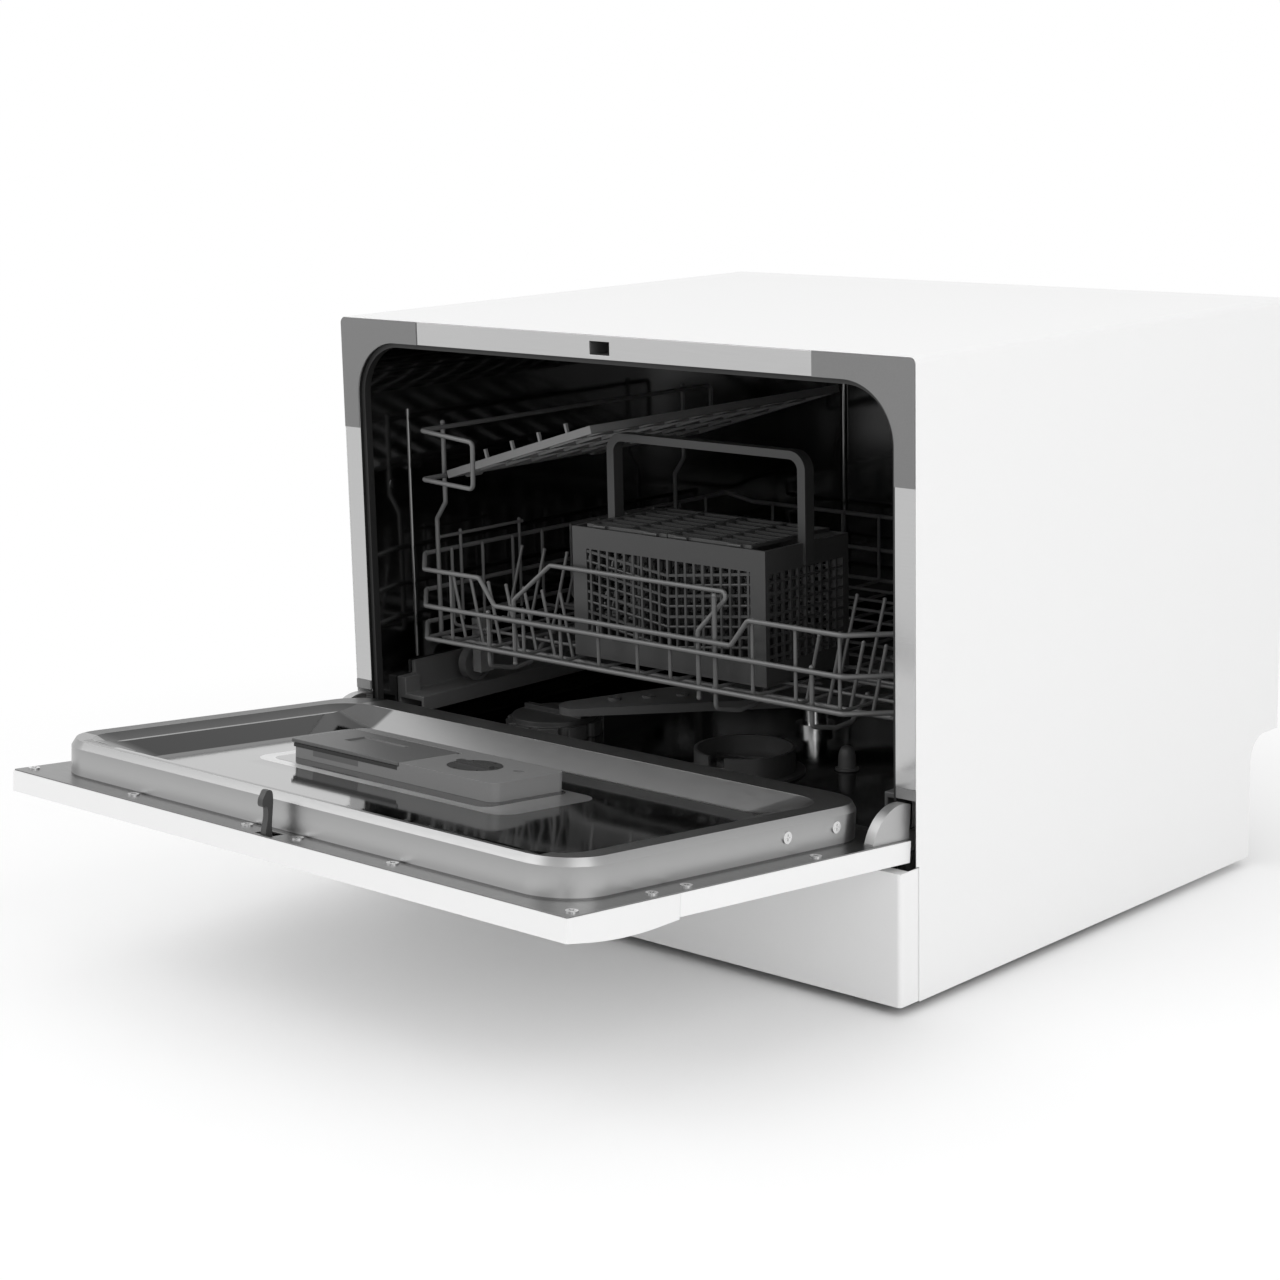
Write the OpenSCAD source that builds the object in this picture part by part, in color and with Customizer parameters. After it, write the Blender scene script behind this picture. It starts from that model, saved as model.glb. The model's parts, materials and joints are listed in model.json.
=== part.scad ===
// Countertop dishwasher with a drop-down door, a roll-out wire rack and a cutlery basket.
// X runs across the front, Y runs to the back, Z is up. The door stands open, as it rests.

/* [Casing] */
// Width of the casing
body_w = 550; // [520:1:600]
// Height of the casing's top above the table
body_h = 438; // [430:1:470]
// Depth from the front frame to the rear panel
body_d = 470; // [460:1:520]
// Thickness of the painted sheet steel
sheet = 0.8; // [0.6:0.1:1.2]
// Radius of the casing's top edges
casing_r = 5; // [3:0.5:9]
// Height of the feet under the casing
foot_h = 6; // [4:0.5:12]
// Depth of the service notch at the rear
notch_d = 40; // [30:1:60]
// Height of the service notch above the table
notch_h = 102; // [90:1:110]
// Corner radius of the service notch
notch_r = 20; // [8:1:28]
// Height of the kick plate's top above the table
kick_top = 99; // [90:0.5:99.5]
// How far the kick plate stands in front of the frame
kick_front = 17; // [14:0.5:20]

/* [Front frame] */
// Width of the frame's side bars, from the casing's outside
frame_side = 17.4; // [16:0.1:22]
// Height of the frame's top bar, from the casing's top
frame_top = 17.7; // [15:0.1:22]
// Corner radius of the tub opening
opening_r = 42; // [30:1:55]
// Height where the side bars end
frame_end = 152.5; // [148:0.5:158]
// Thickness of the frame
frame_t = 0.8; // [0.6:0.1:1.5]
// Size of each corner trim, across and down
trim_size = 85; // [70:1:100]
// Width of the latch slot
slot_w = 19; // [16:0.5:26]
// Height of the latch slot
slot_h = 9.6; // [9:0.1:11]
// How far the latch sits to the left of the middle
latch_shift = 2; // [0:0.5:10]

/* [Tub] */
// Thickness of the stainless sheet
tub_wall = 0.8; // [0.6:0.1:1.2]
// Height of the tub floor above the table
tub_floor = 106; // [105:0.5:108]
// Gap behind the tub, to the rear panel
tub_back_gap = 18; // [12:1:30]
// Corner radius along the bottom of the tub
tub_low_r = 18; // [10:1:18]
// Height of the sill at the door above the table
sill_h = 116.5; // [114:0.5:117]
// Depth of the sill's flat top
sill_d = 23; // [15:1:25]
// Height of the wheel track above the table
track_h = 138.7; // [138:0.1:139]
// Width of the wheel track
track_w = 30; // [28:1:34]

/* [Door] */
// Gap between the closed door's free end and the casing's top
door_gap = 5; // [4:0.5:9]
// Length of the door behind its hinge axis
door_heel = 8.3; // [8:0.1:8.4]
// Thickness of the door's outer panel
door_t = 15.7; // [15.5:0.1:16.5]
// Gap between the door's side and the casing's side, each side
door_inset = 4.1; // [3.5:0.1:6]
// Height of the hinge axis above the table
axis_h = 113; // [112.5:0.1:113.2]
// Distance of the hinge axis in front of the frame
axis_front = 8.4; // [8.2:0.1:8.6]
// Depth of the hinge axis under the liner's flange
axis_drop = 6.4; // [6.2:0.1:6.6]
// How far the open door rises towards its free end, in degrees
door_lift = 5.1; // [0:0.1:6]
// Length of the control panel at the door's free end
panel_len = 98; // [80:1:110]
// How far the control panel bulges past the outer panel
panel_bulge = 3.6; // [1:0.1:4.5]
// Height of the liner above its flange
liner_h = 25; // [24:0.5:25.5]
// Distance from the hinge axis to the liner's near wall
liner_start = 5.2; // [5:0.1:8]
// Width of the liner's flange at the door's free end
liner_flange = 18; // [17:0.5:30]
// Gap between the liner and the tub's opening, each side
liner_gap = 5.6; // [5.1:0.1:16]
// Corner radius of the liner
liner_r = 36; // [20:1:44]
// Depth of the basin in the liner
basin_d = 15; // [8:0.5:18]

/* [Dispenser] */
// Length of the dispenser
disp_l = 203; // [180:1:230]
// Width of the dispenser
disp_w = 70; // [60:1:80]
// Height of the dispenser above the liner's flange
disp_h = 28; // [27:0.1:28.5]
// Distance from the hinge axis to the dispenser's near side
disp_start = 113; // [108:1:120]
// How far the dispenser sits to the left of the middle
disp_shift = 31.5; // [0:0.5:40]
// Radius of the rinse aid cap
cap_r = 19; // [14:0.5:22]

/* [Rack] */
// Gap between the rack and the tub's wall, each side
rack_gap = 17.6; // [16.6:0.1:20]
// Distance from the frame to the rack's front wires
rack_front = 30; // [29.5:0.5:33]
// Depth of the rack
rack_d = 396; // [370:1:400]
// Height of the rack's floor wires above the table
rack_floor = 186; // [184:0.5:196]
// Height of the rack's sides
rack_wall = 55; // [45:1:65]
// Radius of the main wires
wire_r = 1.9; // [1.5:0.05:2.2]
// Radius of the thinner wires
thin_r = 1.4; // [1.1:0.05:1.6]
// Spacing of the floor wires that run front to back
wire_gap = 39; // [36:0.5:40]
// Spacing of the floor wires that run across
cross_gap = 34; // [30:1:40]
// How much higher the hoops' left side runs
side_rise = 8.5; // [0:0.5:10]
// Radius of the rack wheels
wheel_r = 14.6; // [13:0.1:14.6]
// Width of the rack wheels
wheel_w = 8; // [6:0.5:8.5]
// Radius of the wheel axles
axle_r = 3; // [2:0.1:4]
// Height of the plate tines
tine_h = 62; // [45:1:70]
// Spacing of the plate tines
tine_gap = 25; // [20:1:32]

/* [Cup shelf] */
// Height of the shelf's hinge wire above the rack's floor
shelf_rise = 126; // [122:0.5:128]
// Width of the shelf from its hinge wire
shelf_w = 166; // [140:1:168]
// Length of the shelf, front to back
shelf_len = 300; // [200:1:320]
// Tilt of the shelf, in degrees
shelf_tilt = 16.8; // [12:0.1:18]
// Thickness of the shelf
shelf_t = 6; // [4:0.5:7]

/* [Cutlery basket] */
// Length of the basket
basket_l = 187; // [160:1:190]
// Width of the basket
basket_w = 94; // [75:1:100]
// Height of the basket
basket_h = 98; // [80:1:100]
// Height of the handle above the basket
handle_h = 65; // [50:1:66]
// Spacing of the basket's bars
bar_gap = 8.5; // [7:0.5:14]

/* [Wash parts] */
// Reach of the spray arm from its hub
arm_reach = 203; // [150:1:206]
// Angle of the spray arm at rest, in degrees
arm_turn = 51; // [0:1:90]
// Radius of the filter's rim
filter_r = 38; // [32:0.5:42]
// Radius of the salt cap
salt_r = 39; // [30:0.5:42]
// Radius of the water inlet's thread, over the crests
inlet_r = 13.2; // [10:0.1:14]
// Length of the water inlet's thread
inlet_len = 12; // [8:1:18]
// Radius of the drain spigot
drain_r = 10; // [7:0.5:12]
// Length of the drain spigot
drain_len = 24; // [15:1:30]

/* [Hidden] */
$fn = 48;
soft_fn = 32;

// The origin lies on the table under the middle of the open machine.
origin_back = 71;
half_w = body_w / 2;
in_half = half_w - sheet;
in_top = body_h - sheet;
open_half = half_w - frame_side;
open_top = body_h - frame_top;
tub_half = open_half;
tub_back = body_d - tub_back_gap;
running = 0.05;
free_gap = 0.3;
hair = 0.05;
through = 2;

// Door sizes, in the door's own frame: X across, -Y to the free end, Z up from the liner's flange.
door_half = half_w - door_inset;
door_reach = body_h - axis_h - door_gap;
liner_end = door_reach - liner_flange;
liner_half = open_half - liner_gap;
panel_seam = door_reach - panel_len;
latch_z = body_h - frame_top / 2 - 1;
hook_y = axis_h - latch_z + 0.9;

// Places of what stands on the tub floor.
hub_y = 235;
filter_x = 40;
filter_y = 102;
salt_x = -160;
salt_y = 105;
float_x = 97;
float_y = 152;
arm_low = 128.6;

// Places on the rack.
rack_half = tub_half - rack_gap;
rack_back = rack_front + rack_d;
rack_mid = rack_floor + 26;
rack_top = rack_floor + rack_wall;
rack_cut = 50;
wheel_x = rack_half - 2;
wheel_z = track_h + free_gap + wheel_r;
wheel_y_front = rack_front + 65;
wheel_y_rear = rack_back - 65;
inner_rail = rack_half - 11;
rail_z = rack_floor - 0.8;
shelf_x = rack_half - 18;
shelf_z = rack_floor + shelf_rise;
shelf_top_z = shelf_z + 38;
shelf_front = rack_front + 20;
basket_x = 15.5;
basket_y = rack_front + 16;

// Outline helpers.
module along_x(from, length) translate([from, 0, 0]) rotate([90, 0, 90]) linear_extrude(length) children();
module along_y(from, length) translate([0, from + length, 0]) rotate([90, 0, 0]) linear_extrude(length)
    children();

module round_rect(w, h, r) {
    square([w - 2 * r, h], center = true);
    square([w, h - 2 * r], center = true);
    for (sx = [-1, 1], sy = [-1, 1]) translate([sx * (w / 2 - r), sy * (h / 2 - r)]) circle(r);
}

module arch(half, low, high, r) {
    translate([-half, low]) square([2 * half, high - r - low]);
    translate([-half + r, low]) square([2 * (half - r), high - low]);
    for (side = [-1, 1]) translate([side * (half - r), high - r]) circle(r);
}

module round_frame(half, low, high, r_top, r_low) {
    middle = (low + high) / 2;
    arch(half, middle, high, r_top);
    mirror([0, 1]) arch(half, -middle, -low, r_low);
}

// A straight wire between two points.
module rod(a, b, r) {
    d = b - a;
    translate(a) rotate([0, acos(d[2] / norm(d)), atan2(d[1], d[0])]) cylinder(h = norm(d), r = r);
}

// A bent wire: each rod runs on past its bends far enough to close the corner on the outside.
// Rods in turn are a hair thinner, so that two that cross never share a surface.
thinner = 0.1;
function unit(v) = v / norm(v);
function turn(a, b, c) = acos(max(-1, min(1, unit(b - a) * unit(c - b))));

module bent(path, r, closed) {
    count = len(path);
    function at(i) = path[(i + count) % count];
    function half_turn(i) = turn(at(i - 1), at(i), at(i + 1)) / 2;
    function past(i) = !closed && (i == 0 || i == count - 1) ? 0 : r * tan(half_turn(i));
    function share(i) = closed && i == count - 1 && count % 2 == 1 ? 0.5 : i % 2;
    for (i = [0:closed ? count - 1 : count - 2]) {
        along = unit(at(i + 1) - at(i));
        rod(at(i) - along * past(i), at(i + 1) + along * past(i + 1), r - thinner * share(i));
    }
}

module wire(points, r) bent(points, r, false);
module wire_loop(points, r) bent(points, r, true);

module on_door() {
    translate([0, -axis_front, axis_h]) rotate([-door_lift, 0, 0]) translate([0, 0, axis_drop]) children();
}

module both_sides() {
    children();
    mirror([1, 0, 0]) children();
}

// The painted casing: one sheet folded over the top and both sides.
module notch_outline(grow) {
    y = body_d - notch_d - grow;
    z = notch_h + grow;
    r = notch_r + grow;
    translate([y + r, z - r]) circle(r);
    translate([y + r, -through]) square([notch_d + through, z + through]);
    translate([y, -through]) square([notch_d + through, z - r + through]);
}

module casing() color("white") difference() {
    along_y(0, body_d) difference() {
        arch(half_w, foot_h, body_h, casing_r);
        arch(in_half, foot_h - through, in_top, casing_r - sheet);
    }
    along_x(-half_w - through, body_w + 2 * through) notch_outline(0);
    translate([-half_w - through, -through, 0]) cube([body_w + 2 * through, through + 3, kick_top + 1]);
}

// The rear panel has pressed swages and a row of vents.
module rear_panel() color("gainsboro") {
    swage_r = 6;
    low = notch_h + panel_t;
    difference() {
        union() {
            along_y(body_d - sheet, sheet) arch(in_half, low, in_top, casing_r - sheet);
            for (i = [-1.5:1:1.5]) translate([i * 110, body_d - sheet, low + 75])
                cylinder(h = in_top - low - 110, r = swage_r);
        }
        for (i = [-1.5:1:1.5]) translate([i * 110, body_d, low + 74])
            cylinder(h = in_top - low - 108, r = swage_r - sheet);
        translate([-body_w, body_d, 0]) cube([2 * body_w, notch_d, body_h]);
        for (i = [-7:7]) translate([i * 14 - 3, body_d - notch_d, low + 18]) cube([6, 2 * notch_d, 34]);
    }
}

// The grey service panel lines the notch and holds the connections.
inlet_x = -205;
drain_x = -150;
gland_x = 205;
port_z = 58;
panel_t = 2.5;
wall_y = body_d - notch_d;

module service_panel() color("dimgray") difference() {
    along_x(-in_half, 2 * in_half) difference() {
        intersection() {
            notch_outline(panel_t);
            translate([0, foot_h + 2]) square([body_d - sheet, body_h]);
        }
        notch_outline(0);
    }
    translate([inlet_x, wall_y - 10, port_z]) rotate([-90, 0, 0]) cylinder(h = 20, r = inlet_r + 1.5);
    translate([drain_x, wall_y - 10, port_z]) rotate([-90, 0, 0]) cylinder(h = 20, r = drain_r + 1);
    translate([gland_x, wall_y - 10, port_z]) rotate([-90, 0, 0]) cylinder(h = 20, r = 9.5);
}

// The base tray catches leaks and carries the feet.
tray_front = 15;
tray_back = wall_y - panel_t;
foot_in = 40;
foot_places = [for (side = [-1, 1], y = [tray_front + 30, wall_y - 45]) [side * (half_w - foot_in), y]];
post_low = foot_h + 11;

module base_tray() color("darkgray") difference() {
    union() {
        translate([-in_half, tray_front, foot_h]) cube([2 * in_half, tray_back - tray_front, 24]);
        for (p = foot_places) translate([p[0], p[1], foot_h]) cylinder(h = 12, r = 12);
        for (p = foot_places) translate([p[0], p[1], post_low])
            cylinder(h = tub_floor - tub_wall - post_low, r = 8);
    }
    difference() {
        translate([-in_half + 2, tray_front + 2, foot_h + 2])
            cube([2 * in_half - 4, tray_back - tray_front - 4, 30]);
        for (p = foot_places) translate([p[0], p[1], foot_h]) cylinder(h = tub_floor, r = 12);
        for (y = [130, 215, 300]) translate([-in_half, y, foot_h]) cube([2 * in_half, 2, 8]);
    }
    for (p = foot_places) translate([p[0], p[1], foot_h - 1]) cylinder(h = 14, r = 4 + running);
}

module feet() color("black") for (p = foot_places) translate([p[0], p[1], 0]) {
    cylinder(h = foot_h, r = 15);
    cylinder(h = foot_h + 11, r = 4);
}

// The kick plate is a shallow tray on edge, held inside the casing's sides.
module kick_plate() color("white") {
    back = tray_front;
    low = foot_h + 0.5;
    difference() {
        translate([0, (back - kick_front) / 2, low]) linear_extrude(kick_top - low) difference() {
            round_rect(2 * in_half, kick_front + back, 3);
            translate([0, sheet]) round_rect(2 * (in_half - sheet), kick_front + back, 3 - sheet);
        }
        translate([-half_w, back - 0.01, 0]) cube([body_w, 20, body_h]);
    }
    translate([-in_half, -kick_front + sheet, kick_top - sheet]) cube([2 * in_half, 9, sheet]);
}

// The steel front frame, its corner trims and the caps under its side bars.
module front_frame() color("silver") along_y(0, frame_t) difference() {
    arch(in_half, frame_end, in_top, casing_r - sheet);
    arch(open_half, frame_end - through, open_top, opening_r);
    translate([-latch_shift, latch_z]) square([slot_w, slot_h], center = true);
}

trim_t = 0.7;

module corner_trim(side) color("dimgray") along_y(-trim_t, trim_t) intersection() {
    difference() {
        arch(in_half, frame_end, in_top, casing_r - sheet);
        arch(open_half, frame_end - through, open_top, opening_r);
    }
    translate([side * (half_w - trim_size / 2), body_h - trim_size / 2]) square(trim_size, center = true);
}

module corner_trim_left() corner_trim(-1);
module corner_trim_right() corner_trim(1);

module flange_end_caps() color("gray") both_sides() {
    start = open_half + tub_wall + hair;
    difference() {
        translate([start, -trim_t, frame_end - 7]) cube([in_half - start, 6, 7]);
        translate([start + 2, 1, frame_end - 8]) cube([in_half - start - 4, 6, 6]);
    }
}

// The stainless tub is a drawn box with a sill, wells for the wash parts and pressed ribs.
module tub_outline(grow) round_frame(tub_half + grow, tub_floor - grow, open_top + grow,
    opening_r + grow, tub_low_r + grow);

// Below the door's heel the tub starts a little further back, to let the heel turn.
lip_front = 3;

module sill_outline(drop) polygon([
    [lip_front + drop, tub_floor - tub_wall - 2 * drop],
    [lip_front + drop, sill_h - drop],
    [sill_d - drop / 2, sill_h - drop],
    [sill_d + 20 - 2 * drop, tub_floor - 2 * drop],
    [sill_d + 20 - 2 * drop, tub_floor - tub_wall - 2 * drop]
]);

// Welded seams: floor pan, side sheets, ceiling and rear wall are solids a hair apart.
module tub_seams() {
    for (z = [tub_floor + tub_low_r, open_top - opening_r])
        translate([-half_w, 0, z]) cube([body_w, tub_back - tub_wall, hair]);
    along_y(tub_back - tub_wall - hair, hair) difference() {
        square(2 * body_h, center = true);
        tub_outline(0);
    }
}

wall_screws = [[13, open_top - 83], [32, open_top - 115], [14.5, frame_end + 9]];

module tub() color("lightslategray") difference() {
    union() {
        along_y(frame_t, tub_back - frame_t) difference() {
            tub_outline(tub_wall);
            tub_outline(0);
        }
        along_y(tub_back - tub_wall, tub_wall) tub_outline(tub_wall);
        intersection() {
            along_x(-tub_half, 2 * tub_half) sill_outline(0);
            along_y(0, tub_back) tub_outline(tub_wall);
        }
        both_sides() translate([tub_half, 50, frame_end + 12])
            cylinder(h = open_top - frame_end - 70, r = 1.6);
        for (i = [-2:2]) translate([i * 70, tub_back - tub_wall, tub_floor + 60])
            cylinder(h = 190, r = 3);
        both_sides() for (p = wall_screws) translate([tub_half - 0.6, p[0], p[1]]) rotate([0, 90, 0])
            cylinder(h = 1, r = 4);
    }
    along_x(-tub_half + tub_low_r, 2 * (tub_half - tub_low_r)) sill_outline(tub_wall);
    translate([-half_w, frame_t - 1, 0]) cube([body_w, lip_front - frame_t + 1, tub_floor + tub_low_r]);
    tub_seams();
    translate([filter_x, filter_y, tub_floor - 5]) cylinder(h = 10, r = filter_r + 4);
    translate([0, hub_y, tub_floor - 5]) cylinder(h = 10, r = riser_r + 1);
    translate([salt_x, salt_y, tub_floor - 5]) cylinder(h = 10, r = salt_r - 6);
    translate([float_x, float_y, tub_floor - 5]) cylinder(h = 10, r = 5);
    along_y(0, body_d) difference() {
        square(2 * body_h, center = true);
        tub_outline(tub_wall);
    }
}

module door_seal() color("black") {
    depth = 6;
    seal_w = 3.6;
    intersection() {
        along_y(3, depth) difference() {
            arch(tub_half, sill_h, open_top, opening_r);
            arch(tub_half - seal_w, sill_h - through, open_top - seal_w, opening_r - seal_w);
        }
        along_y(0, body_d) tub_outline(-hair);
    }
    translate([-tub_half + 3, 3, sill_h]) cube([2 * tub_half - 6, depth, 1.2]);
}

// The catch behind the latch slot.
module latch_catch() color("dimgray") difference() {
    low = open_top + tub_wall + free_gap;
    reach = 28.5;
    translate([-latch_shift - 17, frame_t, low]) cube([34, reach + 3, in_top - low]);
    translate([-latch_shift - slot_w / 2, 0, latch_z - slot_h / 2]) cube([slot_w, reach, slot_h]);
    translate([-latch_shift - slot_w / 2, 5.5, latch_z - slot_h / 2])
        cube([slot_w, reach - 5.5, slot_h + 1.5]);
}

// Wheel rails: a stepped moulding with a lip outside the wheels and a block at its front.
module wheel_rail() color("dimgray") {
    wall = tub_half;
    inner = wall - track_w;
    lip = 4;
    front = sill_d + 4;
    block = 16;
    difference() {
        union() {
            along_y(front, tub_back - tub_wall - front) polygon([
                [wall, tub_floor + tub_low_r], [wall - 3, tub_floor + tub_low_r], [wall - 3, track_h - 4],
                [inner + 3, track_h - 4], [inner + 3, track_h - 12], [inner, track_h - 12], [inner, track_h],
                [wall - lip, track_h], [wall - lip, track_h + 23], [wall, track_h + 23]
            ]);
            translate([wall - 10, front, track_h - 1]) cube([10, block, 14]);
        }
        translate([wall - lip - 1, front - 1, track_h + 13]) cube([lip + 2, block + 1, 20]);
    }
}

module wheel_rail_left() mirror([1, 0, 0]) wheel_rail();
module wheel_rail_right() wheel_rail();

// Hinge brackets on the cabinet carry the pins that the door turns on.
bracket_x = tub_half + tub_wall;
bracket_t = 2;
cheek_gap = 0.4;
cheek_x = bracket_x + bracket_t + cheek_gap;
cheek_w = door_half - 2.5 - cheek_x;
pin_r = 4;
boss_r = 7;

module hinge_bracket() color("gray") {
    along_x(bracket_x, bracket_t) {
        translate([-axis_front, axis_h]) circle(boss_r);
        translate([-axis_front, axis_h - boss_r]) square([axis_front + 70, 2 * boss_r]);
        translate([20, axis_h - boss_r]) square([41.6, 45]);
    }
    translate([bracket_x, -axis_front, axis_h]) rotate([0, 90, 0])
        cylinder(h = bracket_t + cheek_gap + cheek_w - 1.5, r = pin_r);
}

module hinge_bracket_left() mirror([1, 0, 0]) hinge_bracket();
module hinge_bracket_right() hinge_bracket();

// Under the tub: the sump, the riser for the arm, the heater and the pumps.
sump_r = filter_r + 8;
under = tub_floor - tub_wall;
sump_low = under - 34;
tray_top = foot_h + 2;
wash_z = under - 22;
drain_pump_z = 44;
riser_r = 10;

module sump() color("gray") difference() {
    union() {
        translate([filter_x, filter_y, sump_low]) cylinder(h = 34, r = sump_r);
        translate([0, hub_y, under - 20]) cylinder(h = 20, r = 24);
        hull() {
            translate([filter_x, filter_y, under - 20]) cylinder(h = 14, r = 14, $fn = soft_fn);
            translate([0, hub_y, under - 20]) cylinder(h = 14, r = 14, $fn = soft_fn);
        }
        translate([salt_x, salt_y, under - 44]) cylinder(h = 44, r = salt_r + 4);
        translate([salt_x, filter_y - 14, sump_low]) cube([filter_x - salt_x, 28, 12]);
        translate([filter_x, filter_y, wash_z]) rotate([0, 90, 0]) cylinder(h = sump_r + 14, r = 11);
        translate([filter_x, filter_y + 30, drain_pump_z]) cylinder(h = sump_low - drain_pump_z + 2, r = 9);
    }
    translate([filter_x, filter_y, sump_low + 3]) cylinder(h = 34, r = sump_r - 3);
    translate([0, hub_y, under - 17]) cylinder(h = 20, r = riser_r + running);
    translate([salt_x, salt_y, under - 41]) cylinder(h = 44, r = salt_r + 1);
}

module spray_riser() color("silver") translate([0, hub_y, 0]) {
    translate([0, 0, under - 17]) cylinder(h = arm_low - under + 16.7, r = riser_r);
    translate([0, 0, tub_floor]) cylinder(h = 6, r = riser_r + 5.5);
    translate([0, 0, arm_low - 1]) cylinder(h = 14, r = 6);
}

module heater() color("silver") translate([filter_x, filter_y, sump_low + 8]) {
    ring_r = sump_r - 7;
    rotate_extrude(angle = 320) translate([ring_r, 0]) circle(3);
    for (end = [0, 320]) rotate([0, 0, end]) translate([ring_r, 0, -5]) cylinder(h = 5.4, r = 3.3);
}

module wash_pump() color("dimgray") {
    start = filter_x + sump_r + 14;
    translate([start, filter_y, wash_z]) rotate([0, 90, 0]) {
        cylinder(h = 4, r = 15);
        translate([0, 0, 4]) cylinder(h = 22, r = 21);
        translate([0, 0, 26]) cylinder(h = 60, r = 19);
    }
    translate([start + 40, filter_y - 15, tray_top]) cube([30, 30, wash_z - tray_top]);
}

module drain_pump() color("dimgray") {
    start = filter_y + 20;
    translate([filter_x, start, drain_pump_z]) rotate([-90, 0, 0]) difference() {
        union() {
            cylinder(h = 22, r = 22);
            translate([0, 0, 22]) cylinder(h = 44, r = 17);
        }
        translate([0, -drain_pump_z, 10]) rotate([-90, 0, 0]) cylinder(h = drain_pump_z + 2, r = 9);
    }
    translate([filter_x - 12, start + 26, tray_top]) cube([24, 30, drain_pump_z - tray_top]);
}

module threaded_stub(r, length) difference() {
    cylinder(h = length, r = r);
    translate([0, 0, -1]) cylinder(h = length + 2, r = r - 4);
}

module inlet_valve() color("gray") translate([inlet_x, wall_y, port_z]) rotate([-90, 0, 0]) {
    threaded_stub(inlet_r, inlet_len);
    translate([0, 0, -panel_t - 4]) difference() {
        cylinder(h = 4, r = inlet_r + 6);
        translate([0, 0, -1]) cylinder(h = 8, r = inlet_r - 4);
    }
    translate([0, 0, -panel_t]) threaded_stub(inlet_r - 0.6, panel_t + 1);
    translate([0, 0, -panel_t - 34]) cylinder(h = 31, r = 13);
    translate([-18, -12, -panel_t - 30]) cube([36, 48, 22]);
}

module drain_spigot() color("gray") translate([drain_x, wall_y, port_z]) rotate([-90, 0, 0]) {
    difference() {
        union() {
            cylinder(h = drain_len, r = drain_r);
            translate([0, 0, -panel_t - 3]) cylinder(h = 3, r = drain_r + 5);
            translate([0, 0, -panel_t - 14]) cylinder(h = panel_t + 15, r = drain_r - 1.5);
        }
        translate([0, 0, -panel_t - 12]) cylinder(h = drain_len + 20, r = drain_r - 3);
    }
}

module cable_gland() color("black") translate([gland_x, wall_y, port_z]) rotate([-90, 0, 0]) difference() {
    union() {
        cylinder(h = 3, r = 13);
        translate([0, 0, -panel_t - 3]) cylinder(h = panel_t + 4, r = 9.4);
        translate([0, 0, -panel_t - 5]) cylinder(h = 5, r = 12);
    }
    translate([0, 0, -12]) cylinder(h = 30, r = 4);
}

// The twist-out filter: a rim with a grip notch and a mesh cup under it.
module coarse_filter() color("dimgray") translate([filter_x, filter_y, tub_floor]) difference() {
    union() {
        cylinder(h = 2, r = filter_r + 7);
        cylinder(h = 19, r = filter_r);
        translate([0, 0, -28]) cylinder(h = 29, r = filter_r - 6);
    }
    translate([0, 0, 2]) cylinder(h = 30, r = filter_r - 2.5);
    translate([0, 0, -26]) cylinder(h = 40, r = filter_r - 8);
    translate([-3, -filter_r - 4, 9]) cube([14, 10, 20]);
    for (i = [0:11]) rotate([0, 0, 30 * i + 12]) translate([filter_r - 12, -4, -23]) cube([10, 8, 18]);
}

module fine_filter() color("silver") translate([filter_x, filter_y, tub_floor]) difference() {
    union() {
        translate([0, 0, -25.6]) cylinder(h = 24, r = filter_r - 9);
        translate([0, 0, -1.6]) cylinder(h = 5, r = filter_r - 8.4);
        translate([-filter_r + 12, -2, 3]) cube([2 * filter_r - 24, 4, 8]);
    }
    translate([0, 0, -24]) cylinder(h = 24, r = filter_r - 11);
}

module salt_cap() color("black") translate([salt_x, salt_y, tub_floor]) difference() {
    union() {
        cylinder(h = 11, r = salt_r);
        translate([0, 0, 11]) cylinder(h = 4, r = salt_r - 5);
        translate([-salt_r + 8, -3, 13]) cube([2 * salt_r - 16, 6, 6]);
        translate([0, 0, -12]) cylinder(h = 13, r = salt_r - 7);
    }
    for (i = [0:9]) rotate([0, 0, 36 * i]) translate([salt_r, 0, -1]) cylinder(h = 13, r = 4);
}

module float() color("silver") translate([float_x, float_y, tub_floor]) {
    cylinder(h = 2, r = 9);
    rotate_extrude() polygon([[0, 0], [7, 0], [6.4, 12], [4.6, 17], [2, 18.5], [0, 18.8]]);
    translate([0, 0, -14]) cylinder(h = 15, r = 4.7);
}

// Door: the painted outer panel, the moulded control panel and the pressed liner.
module hinge_notch() both_sides() translate([bracket_x - 0.8, -9, -door_t + sheet + 0.1])
    cube([cheek_x + cheek_w + 0.8 - bracket_x, 24, door_t + 4]);

module door_outer_panel() color("white") on_door() difference() {
    low = -door_t;
    length = panel_seam + door_heel;
    translate([0, (door_heel - panel_seam) / 2, low]) linear_extrude(door_t - 0.8)
        round_rect(2 * door_half, length, 1.5);
    translate([-door_half + sheet, -panel_seam + sheet, low + sheet])
        cube([2 * (door_half - sheet), length - 2 * sheet, door_t]);
    hinge_notch();
}

// The control panel's section: an arc that bulges between the seam and the free end.
seam_gap = 0.2;
panel_steps = 10;
function bulge_point(t, inset) = [
    -panel_seam - seam_gap - inset - (panel_len - seam_gap - 2 * inset) * t,
    -door_t + inset - panel_bulge * sin(180 * t) - (1 - t) * 1.2
];

module panel_section(inset) polygon(concat(
    [[-panel_seam - seam_gap - inset, -0.8 + inset], ],
    [for (i = [0:panel_steps]) bulge_point(i / panel_steps, inset)],
    [[-door_reach + inset, -0.8 + inset]]
));

button_places = [[-205, "power"], [120, "program"], [160, "delay"], [200, "start"]];
button_y = -panel_seam - panel_len / 2;
button_r = 7;
button_z = -door_t - panel_bulge - 0.6;
grip_half = 62;

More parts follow.
